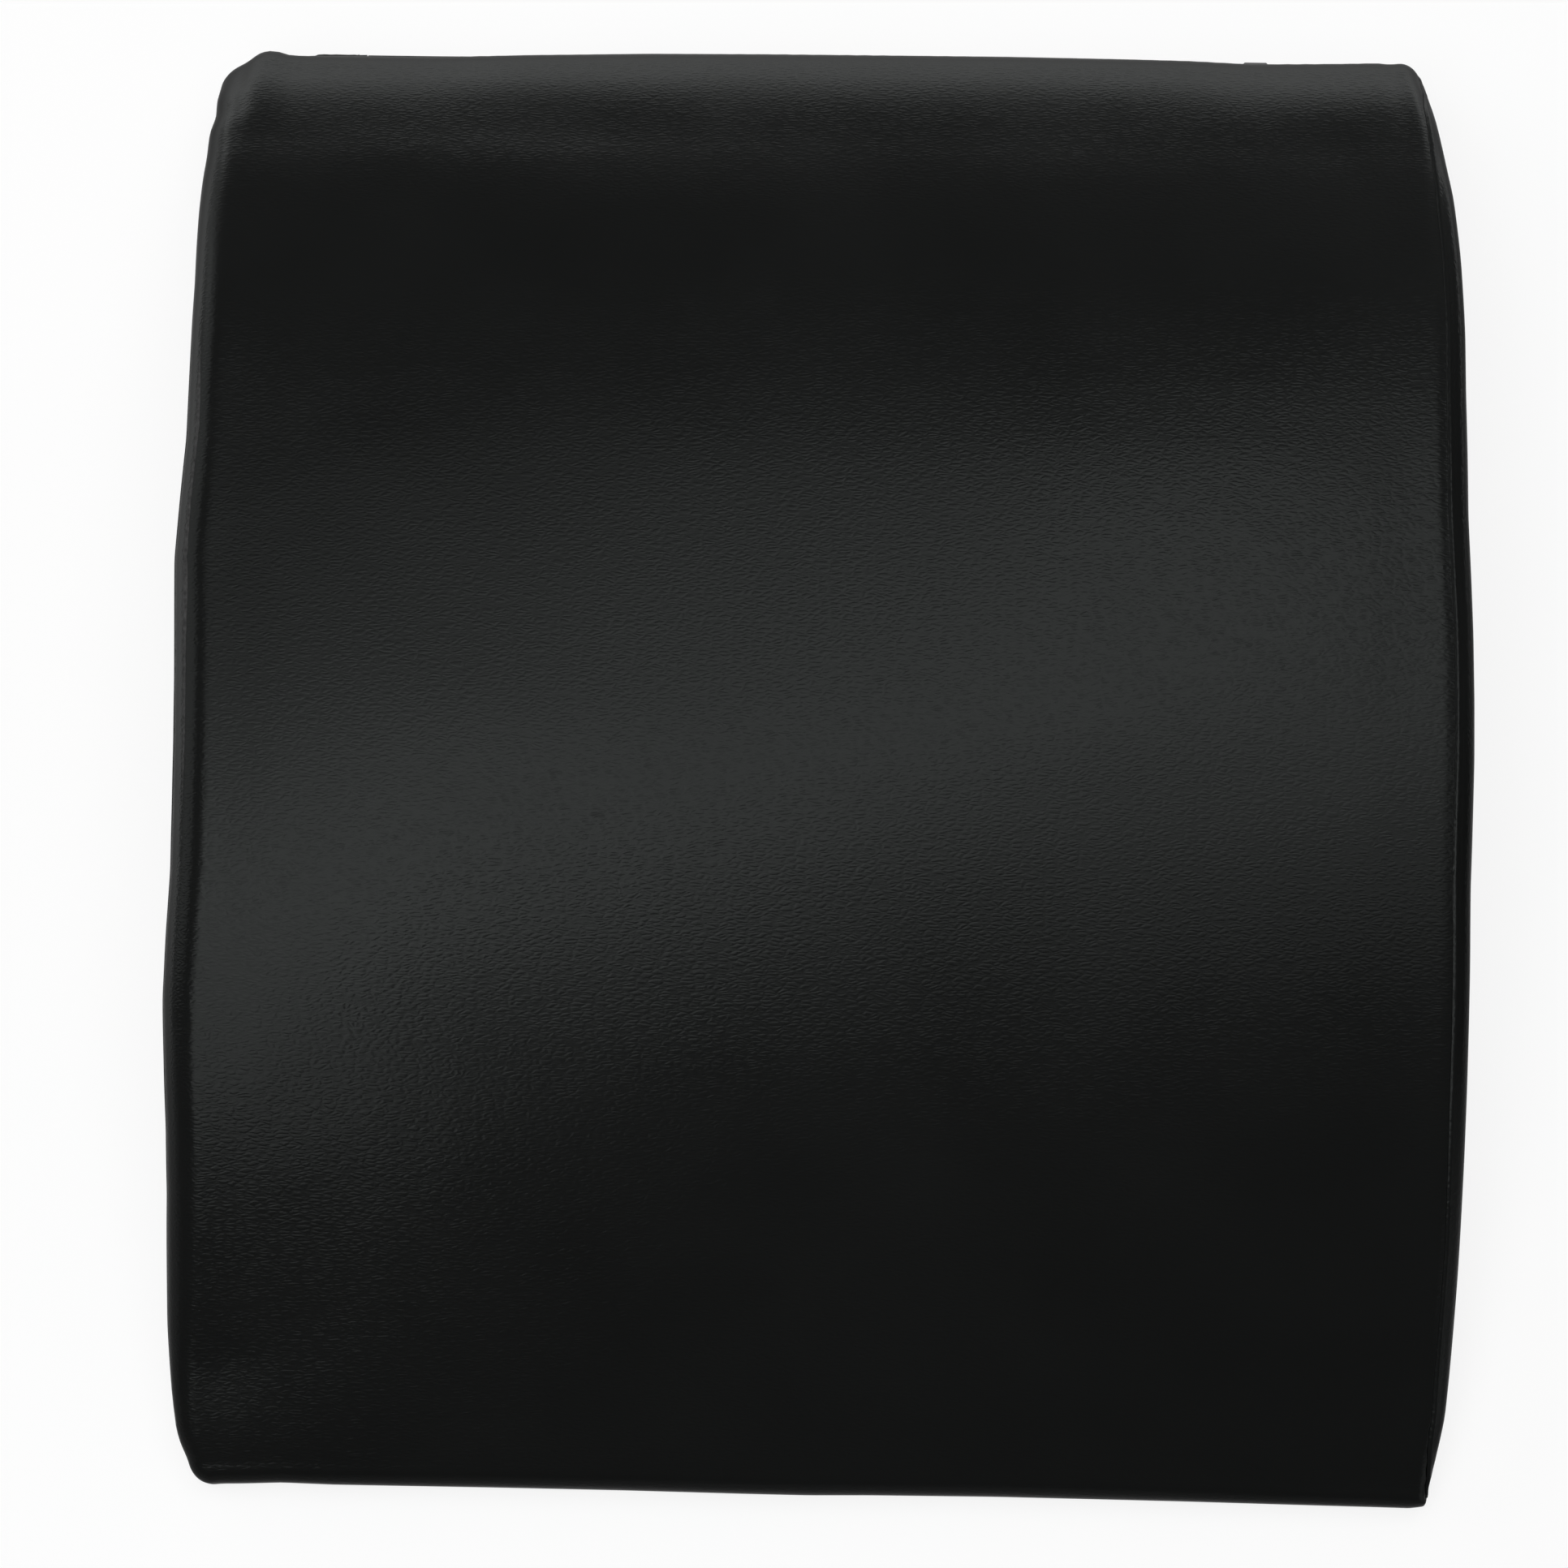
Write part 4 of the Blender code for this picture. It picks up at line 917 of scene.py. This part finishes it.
def puckers(run, from_seam):
    """Small creases across a seam that die out away from it. Slow waves keep them from being regular."""
    wander = 0.9 * np.sin(run / 0.031) + 0.7 * np.sin(run / 0.0123 + 2.0)
    depth = 0.10 + 0.06 * np.sin(run / 0.017 + 1.3)
    return depth * MM * np.sin(run / PUCKER_PITCH * math.tau + wander) * np.exp(-from_seam / PUCKER_REACH)


def sheet_edge(from_seam, run, strength):
    """The edge of a sheet that dives to a seam."""
    return strength * (-SEAM_DEPTH * bell(from_seam, 0.0, SEAM_WIDTH) + puckers(run, from_seam))


def folded_edge(from_seam, run, strength, ridge):
    """The folded edge beside a seam: down at the stitching, then a thin rounded ridge."""
    dive = -SEAM_DEPTH * bell(from_seam, 0.0, FOLD_WIDTH)
    raised = RIDGE_HEIGHT * bell(from_seam, RIDGE_PLACE, RIDGE_WIDTH)
    return strength * (dive + 0.6 * puckers(run, from_seam)) + ridge * raised


def along_seam(run, rear_start, rear_full):
    """0 at the two ends of a side seam and 1 along the rest. The rear end is measured from the floor."""
    return smooth_step(run, 3 * MM, 12 * MM) * smooth_step(RUN_TOTAL - run, rear_start, rear_full)


def seam_strength(run, side):
    """How deep the side seam lies: full on the right, less at its ends, and shallow on the left."""
    return np.where(np.asarray(side) < 0, 0.2, 0.5 + 0.5 * along_seam(run, 24 * MM, 34 * MM))


def ridge_strength(run, side):
    """How high the folded edge stands: nothing at its ends, and nothing on the left."""
    return np.where(np.asarray(side) < 0, 0.0, 1.0) * along_seam(run, 20 * MM, 30 * MM)


# %% [markdown]
# ## The cover's skin
# Every leather panel is cut from one surface of two parameters: the run along the outline,
# and a place across, which first spans the flat and then turns round the rolled edge.


# %% Skin of two parameters
# How far behind the front wall the crown begins to sink at the rolled edge, and is full.
CROWN_START, CROWN_FULL = 6 * MM, 45 * MM


def skin(run, share, turn, rise):
    """Points of the skin. The outline's point is moved across by share of the flat's half width,
    turned round the roll by turn, and lifted off the surface by rise. Round the small front
    shoulder the roll's end doesn't sink with the crown, as it would pass the shoulder's centre.
    """
    y, z, ny, nz = outline_at(run)
    roll = roll_radius(run, share)
    flat = half_width(y - roll * ny) - roll
    sine, cosine = np.sin(turn), np.cos(turn)
    still = joined(share * flat + roll * sine, y, z)
    out = joined(sine, cosine * ny, cosine * nz)
    rise = rise + foam_unevenness(still[..., 0], still[..., 1]) * out[..., 2] ** 2 + swell(still, out)
    lift = rise - tuck(z)
    near_lip = 1.0 - smooth_step(run, RUN_FRONT_WALL + CROWN_START, RUN_FRONT_WALL + CROWN_FULL)
    crown = CROWN * (1.0 - near_lip * sine**2)
    back = crown * share**2 * nz**2 + roll * (1.0 - cosine) - lift * cosine
    x = share * flat + roll * sine + lift * sine
    return settle(joined(x, y - back * ny, z - back * nz))


def across_the_top(left_steps, right_steps):
    """Columns over the whole top: a share of the flat, and a part of the way round each roll to its seam."""
    across = bunched(-FLAT, FLAT, 2.3 * MM, 0.34 * MM, [(-FLAT, 5 * MM), (FLAT, 6 * MM)]) / FLAT
    share = np.concatenate((np.full(left_steps, -1.0), across, np.full(right_steps, 1.0)))
    part = np.concatenate((np.linspace(-1.0, 0.0, left_steps + 1)[:-1], np.zeros(len(across)),
                           np.linspace(0.0, 1.0, right_steps + 1)[1:]))
    return share[None, :], part[None, :]


# %% Top cover
FLAT = END_HALF_WIDTH + BULGE - ROLL
top_share, top_part = across_the_top(left_steps=16, right_steps=8)
top_run = bunched(0.0, RUN_REAR_SEAM, 2.2 * MM, 0.5 * MM,
                  [(RUN_FRONT_WALL + 2 * MM, 8 * MM), (RUN_REAR_SEAM, 7 * MM)])
run_grid = top_run[:, None]
seam_turns = np.where(top_part < 0, LEFT_SEAM_TURN, right_seam(run_grid))
top_turn = top_part * seam_turns
from_left_seam = FLAT * (1.0 + top_share) + ROLL * LEFT_SEAM_TURN * (1.0 + np.minimum(top_part, 0.0))
from_right_seam = FLAT * (1.0 - top_share) + ROLL * right_seam(run_grid) * (1.0 - np.maximum(top_part, 0.0))
from_rear_seam = RUN_REAR_SEAM - run_grid
from_side_seam = np.minimum(from_left_seam, from_right_seam)
top_rise = sheet_edge(from_side_seam, run_grid, seam_strength(run_grid, top_share))
top_rise = top_rise + sheet_edge(from_rear_seam, top_share * END_HALF_WIDTH, 0.6)
top_points = skin(run_grid, top_share, top_turn, top_rise)
add_panel("top_cover", top_points, grid_cells(*top_points.shape[:2]), leather_top, "top_panel")

# %% [markdown]
# ## The side covers
# Each side is one D-shaped panel. A band of it follows the outline round the rolled edge,
# starting at the folded edge by the seam, and a nearly flat wall hangs from the band down
# to the floor.

# %% Side covers
BELLY = 1.0 * MM
# The band starts a hair beyond the seam. Over the fan's reach behind the lip, the wall's rows
# take all but their top point from the first row, and points that fall together are welded.
FOLD_START, FAN_REACH, WELD_REACH = 0.02 * MM, 7 * MM, 0.1 * MM
WALL_ROWS = 26


def along_edge(edge, heights):
    """Points at some heights on an edge whose points rise from first to last."""
    return np.stack([np.interp(heights, edge[:, 2], edge[:, axis]) for axis in range(3)], 1)


def side_cover(name, side, seam_of, band_steps, node):
    """The band is the skin beyond the seam. The wall spans from the band's lower edge to the floor.

    The wall's first and last rows lie on the band's edge at the ends. Round the small front
    shoulder, where its rows would crowd together, they fan out from the first one.
    """
    runs = bunched(0.0, RUN_TOTAL, 2.2 * MM, 0.6 * MM,
                   [(RUN_FRONT_WALL + 4 * MM, 8 * MM), (RUN_REAR_SEAM - 4 * MM, 9 * MM)])
    along = runs[:, None]
    seam = seam_of(along)
    first = seam + FOLD_START / ROLL
    turns = first + (math.pi / 2 - first) * np.linspace(0.0, 1.0, band_steps) ** 1.25
    rise = folded_edge(ROLL * (turns - seam), along, seam_strength(along, side), ridge_strength(along, side))
    band = skin(along, np.full((1, band_steps), side), side * turns, rise)
    hump = runs[(runs >= RUN_FRONT_WALL) & (runs <= RUN_REAR_SEAM)]
    y, z, ny, nz = outline_at(hump)
    roll = roll_radius(hump, side)
    spine_y, spine_z = (y - roll * ny)[:, None], (z - roll * nz)[:, None]
    level = np.linspace(0.0, 1.0, WALL_ROWS)[None, :]
    height = spine_z + (LOWER_EDGE - spine_z) * level
    bow = BELLY * np.cos(math.pi * spine_y / (LENGTH - 2 * ROLL)) * np.sin(math.pi * level)
    x = side * (half_width(spine_y) + bow - tuck(height))
    wall = joined(x, spine_y, height)
    out = np.zeros_like(wall)
    out[..., 0] = 1.0
    wall[..., 0] += side * swell(wall, out)
    wall = settle(wall)
    first_row = np.searchsorted(runs, hump[0])
    wall[:, 0] = band[first_row:first_row + len(hump), -1]
    wall[0] = along_edge(band[:first_row + 1, -1], wall[0, :, 2])
    wall[-1] = along_edge(band[:first_row + len(hump) - 2:-1, -1], wall[-1, :, 2])
    wall[hump < RUN_FRONT_WALL + FAN_REACH, 1:] = wall[0, 1:]
    points = np.concatenate((band.reshape(-1, 3), wall.reshape(-1, 3)))
    band_cells = grid_cells(*band.shape[:2], turned=side < 0)
    wall_cells = grid_cells(*wall.shape[:2], turned=side < 0) + band.shape[0] * band.shape[1]
    piece = add_panel(name, points, np.concatenate((band_cells, wall_cells)), leather_side, node)
    weld(piece, WELD_REACH)


side_cover("side_cover_right", 1.0, right_seam, 24, "side_panel_right")
side_cover("side_cover_left", -1.0, lambda run: np.full_like(run, LEFT_SEAM_TURN), 10, "side_panel_left")

# %% [markdown]
# ## The rear wall
# Two strips run beside the zip, each folded round at the edge that faces the teeth and
# stitched to the tape behind it. Beyond the zip's ends an end panel fills the wall up to
# the side seam. The stitching presses a shallow line of puckers into the leather.

# %% Rear strips and end panels
STITCH_PITCH = 3.4 * MM
STRIP_HALF = 116.0 * MM
UPPER_STRIP, LOWER_STRIP = (16.5 * MM, 20.7 * MM), (1.3 * MM, 5.5 * MM)
UPPER_STITCHES, LOWER_STITCHES = 18.2 * MM, 3.9 * MM
STITCH_INSET, DIP_DEPTH, DIP_WIDTH = 2.2 * MM, 0.22 * MM, 0.7 * MM
STRIP_PLACES, FACE_STEPS, BACK_STEPS = 330, 14, 4


def stitch_dip(along, across):
    """A shallow line pressed in by a row of stitches, deepest once in every pitch."""
    pull = 0.6 + 0.4 * np.cos(along / STITCH_PITCH * math.tau)
    return -DIP_DEPTH * pull * bell(across, 0.0, DIP_WIDTH)


def rear_strip(name, heights, stitch_height, node):
    """A flat section with rounded corners, carried along X. The last two corners mirror the first two."""
    radius = LEATHER / 2 * 0.9
    outer, inner = HALF_LENGTH, HALF_LENGTH - LEATHER
    low, high = heights
    quarter = np.linspace(0.0, math.pi / 2, 5)
    out_y, out_z = radius * (1 - np.cos(quarter[1:])), radius * (1 - np.sin(quarter[1:]))
    in_y, in_z = radius * (1 - np.sin(quarter[:-1])), radius * (1 - np.cos(quarter[:-1]))
    y = np.concatenate((np.full(FACE_STEPS, outer), outer - out_y, inner + in_y,
                        np.full(BACK_STEPS, inner), inner + out_y, outer - in_y))
    face = np.linspace(low + radius, high - radius, FACE_STEPS)
    back = np.linspace(high - radius, low + radius, BACK_STEPS)
    z = np.concatenate((face, high - out_z, high - in_z, back, low + out_z, low + in_z))
    x = np.linspace(-STRIP_HALF, STRIP_HALF, STRIP_PLACES)[:, None]
    dip = stitch_dip(x, z - stitch_height) * (y > HALF_LENGTH - LEATHER / 2)
    points = settle(joined(x, y + dip - tuck(z) * 0.9, z))
    add_tube(name, points, leather_top, node)


def end_panel(name, side, seam_turn, node):
    """The skin of the rear wall from the zip's end round the corner to the side seam."""
    flat = END_HALF_WIDTH - ROLL
    start, end = STRIP_HALF + GAP, flat + ROLL * seam_turn
    distance = bunched(start, end, 1.5 * MM, 0.4 * MM, [(start, 3 * MM), (end, 4 * MM)])[None, :]
    share = side * np.minimum(distance / flat, 1.0)
    turn = side * np.maximum(distance - flat, 0.0) / ROLL
    run = np.linspace(RUN_REAR_SEAM + 0.25 * MM, RUN_TOTAL, 44)[:, None]
    from_top = run - RUN_REAR_SEAM
    rise = sheet_edge(end - distance, run, 0.5) + folded_edge(from_top, distance, 0.6, 0.5)
    rise = rise + stitch_dip(run, distance - start - STITCH_INSET)
    points = skin(run, share, turn, rise)
    add_panel(name, points, grid_cells(*points.shape[:2], turned=side < 0), leather_top, node)


rear_strip("rear_strip_cover_upper", UPPER_STRIP, UPPER_STITCHES, "rear_strip_upper")
rear_strip("rear_strip_cover_lower", LOWER_STRIP, LOWER_STITCHES, "rear_strip_lower")
end_panel("rear_end_cover_right", 1.0, float(right_seam(RUN_TOTAL)), "rear_end_panel_right")
end_panel("rear_end_cover_left", -1.0, LEFT_SEAM_TURN, "rear_end_panel_left")
print("rear wall: two strips and two end panels")

# %% [markdown]
# ## Stitches
# A lockstitch shows as a row of short bowed threads. Each is a few rings of points along a
# bowed line, and the whole row is one mesh: the same small shape placed at every stitch.


# %% Stitch rows
STITCH_LENGTH, STITCH_RADIUS = 2.6 * MM, 0.20 * MM


def stitch_row(name, starts, along, outward):
    """Stitches that start at given points. Each bows out: its height is the radius times a half sine."""
    t = np.linspace(0.0, 1.0, 6)
    around = np.linspace(0.0, math.tau, 6, endpoint=False)
    thick = STITCH_RADIUS * np.sqrt(np.clip(1.0 - (2.0 * t - 1.0) ** 6, 0.04, 1.0))
    lift = 0.9 * STITCH_RADIUS * np.sin(math.pi * t) - 0.2 * STITCH_RADIUS
    along, outward = np.array(along, float), np.array(outward, float)
    sideways = np.cross(along, outward)
    centre = t[:, None] * STITCH_LENGTH * along + lift[:, None] * outward
    circle = np.cos(around)[:, None] * outward + np.sin(around)[:, None] * sideways
    rings = centre[:, None, :] + thick[:, None, None] * circle
    add_copies(name, rings, starts, thread)


row_x = np.arange(-STRIP_HALF + 2 * MM, STRIP_HALF - 4 * MM, STITCH_PITCH) + 0.4 * MM
for name, height in (("stitches_upper", UPPER_STITCHES), ("stitches_lower", LOWER_STITCHES)):
    starts = [(x, HALF_LENGTH - 0.10 * MM, height) for x in row_x]
    stitch_row(name, starts, along=(1, 0, 0), outward=(0, 1, 0))
row_z = np.arange(3.4 * MM, 17.0 * MM, STITCH_PITCH)
for name, side in (("stitches_end_right", 1.0), ("stitches_end_left", -1.0)):
    starts = [(side * (STRIP_HALF + GAP + STITCH_INSET), HALF_LENGTH - 0.05 * MM, z) for z in row_z]
    stitch_row(name, starts, along=(0, 0, 1), outward=(0, 1, 0))
print("stitches beside the zip:", 2 * len(row_x) + 2 * len(row_z))

# %% [markdown]
# ## The underside
# The base is a flat non-slip cloth with small rubber dots. The cloth is a disc of rings
# that shrink to its middle, and the dots are low domes on a staggered grid, all one mesh.

# %% Base cover and grip dots
BASE_INSET = 0.8 * MM
DOT_PITCH, DOT_RADIUS, DOT_HEIGHT = 6.5 * MM, 1.15 * MM, 0.45 * MM
BASE_TOP, BASE_BOTTOM = 1.0 * MM, 0.4 * MM
BASE_RINGS, MIDDLE_SHARE = 16, 0.03
DOT_INSET, DOT_SUNK, DOT_SIDES = 7 * MM, 0.05 * MM, 8
DOT_RADII, DOT_LEVELS = np.array((1.0, 0.86, 0.45)), np.array((0.0, 0.55, 1.0))


def plan_outline(inset, steps):
    """The outline from above, anticlockwise: straight ends, round corners and bulged sides."""
    reach = HALF_LENGTH - ROLL
    radius = ROLL - inset
    corner = np.linspace(0.0, math.pi / 2, 7)
    corner_x = END_HALF_WIDTH - ROLL
    front_x, front_y = corner_x + radius * np.sin(corner), -reach - radius * np.cos(corner)
    side_y = np.linspace(-reach, reach, steps)[1:-1]
    side_x = half_width(side_y) - inset
    x = np.concatenate((front_x, side_x, front_x[::-1]))
    y = np.concatenate((front_y, side_y, -front_y[::-1]))
    return np.concatenate((x, -x[::-1])), np.concatenate((y, y[::-1]))


def base_cloth_piece():
    """Rings: over the top from the middle to the edge, round the edge, and back to the middle below."""
    edge_x, edge_y = plan_outline(BASE_INSET, 80)
    outwards = np.linspace(MIDDLE_SHARE, 1.0, BASE_RINGS)
    shrink = np.concatenate((outwards, outwards[::-1]))[:, None]
    height = np.repeat((BASE_TOP, BASE_BOTTOM), BASE_RINGS)[:, None]
    points = settle(joined(shrink * edge_x, shrink * edge_y, height))
    add_tube("base_cover", points, base_cloth, "base_panel")


def grip_dots():
    """A dome at every place of a staggered grid inside the outline: three rings, the last a flat tip."""
    rows = np.arange(-HALF_LENGTH + DOT_INSET, HALF_LENGTH - DOT_INSET, DOT_PITCH * math.sqrt(0.75))
    columns = np.arange(-24, 25) * DOT_PITCH
    x = columns + np.where(np.arange(len(rows)) % 2, DOT_PITCH / 2, 0.0)[:, None]
    x, y = np.broadcast_arrays(x, rows[:, None])
    inside = np.abs(x) < half_width(y) - DOT_INSET
    centres = joined(x[inside], y[inside], 0.0)
    around = np.linspace(0.0, math.tau, DOT_SIDES, endpoint=False)
    radius = DOT_RADIUS * DOT_RADII[:, None]
    height = BASE_BOTTOM + DOT_SUNK - DOT_HEIGHT * DOT_LEVELS[:, None]
    dome = joined(radius * np.cos(around), radius * np.sin(around), height)
    print("grip dots:", len(centres))
    add_copies("grip_dots", dome, centres, grip_rubber)


base_cloth_piece()
grip_dots()

# %% [markdown]
# ## The zip
# The tapes are woven strips with a thicker cord at the edge that carries the teeth. The
# teeth, the stops, the slider and its tab keep the solids of the model and only get their
# own finishes.

# %% Tapes and hard parts
TAPE_FACES = (175.5 * MM, 176.0 * MM)
TAPE_HALF = 127.0 * MM
CORD_HEIGHT, CORD_PLACE, CORD_WIDTH = 0.28 * MM, 0.06, 0.07
TAPES = {"zip_tape_cloth_upper": ("zip_tape_upper", 13.5 * MM, 19.8 * MM),
         "zip_tape_cloth_lower": ("zip_tape_lower", 8.5 * MM, 2.2 * MM)}


def zip_tape(name, node, inner_edge, outer_edge):
    """A thin rounded section carried along X, with a cord beside the teeth."""
    around = np.linspace(0.0, math.tau, 28, endpoint=False)
    along = (1.0 - np.cos(around)) / 2
    z = inner_edge + (outer_edge - inner_edge) * along
    middle, half = sum(TAPE_FACES) / 2, (TAPE_FACES[1] - TAPE_FACES[0]) / 2
    cord = CORD_HEIGHT * bell(along, CORD_PLACE, CORD_WIDTH)
    high = np.abs(np.sin(around))
    y = middle + np.sign(np.sin(around)) * (half * high**0.3 + cord * high)
    x = np.linspace(-TAPE_HALF, TAPE_HALF, 200)[:, None]
    points = joined(x, y, z)
    add_tube(name, points, zip_cloth, node)


for name, (node, inner_edge, outer_edge) in TAPES.items():
    zip_tape(name, node, inner_edge, outer_edge)
FINISHES = {"zip_teeth_upper": zip_plastic, "zip_teeth_lower": zip_plastic, "zip_top_stop_upper": zip_plastic,
            "zip_top_stop_lower": zip_plastic, "zip_bottom_stop": zip_plastic, "zip_slider": gunmetal,
            "zip_pull_tab": gunmetal}
for node_name, finish in FINISHES.items():
    for material_slot in frame["nodes"][node_name].material_slots:
        material_slot.material = finish
print("zip finishes:", len(FINISHES))
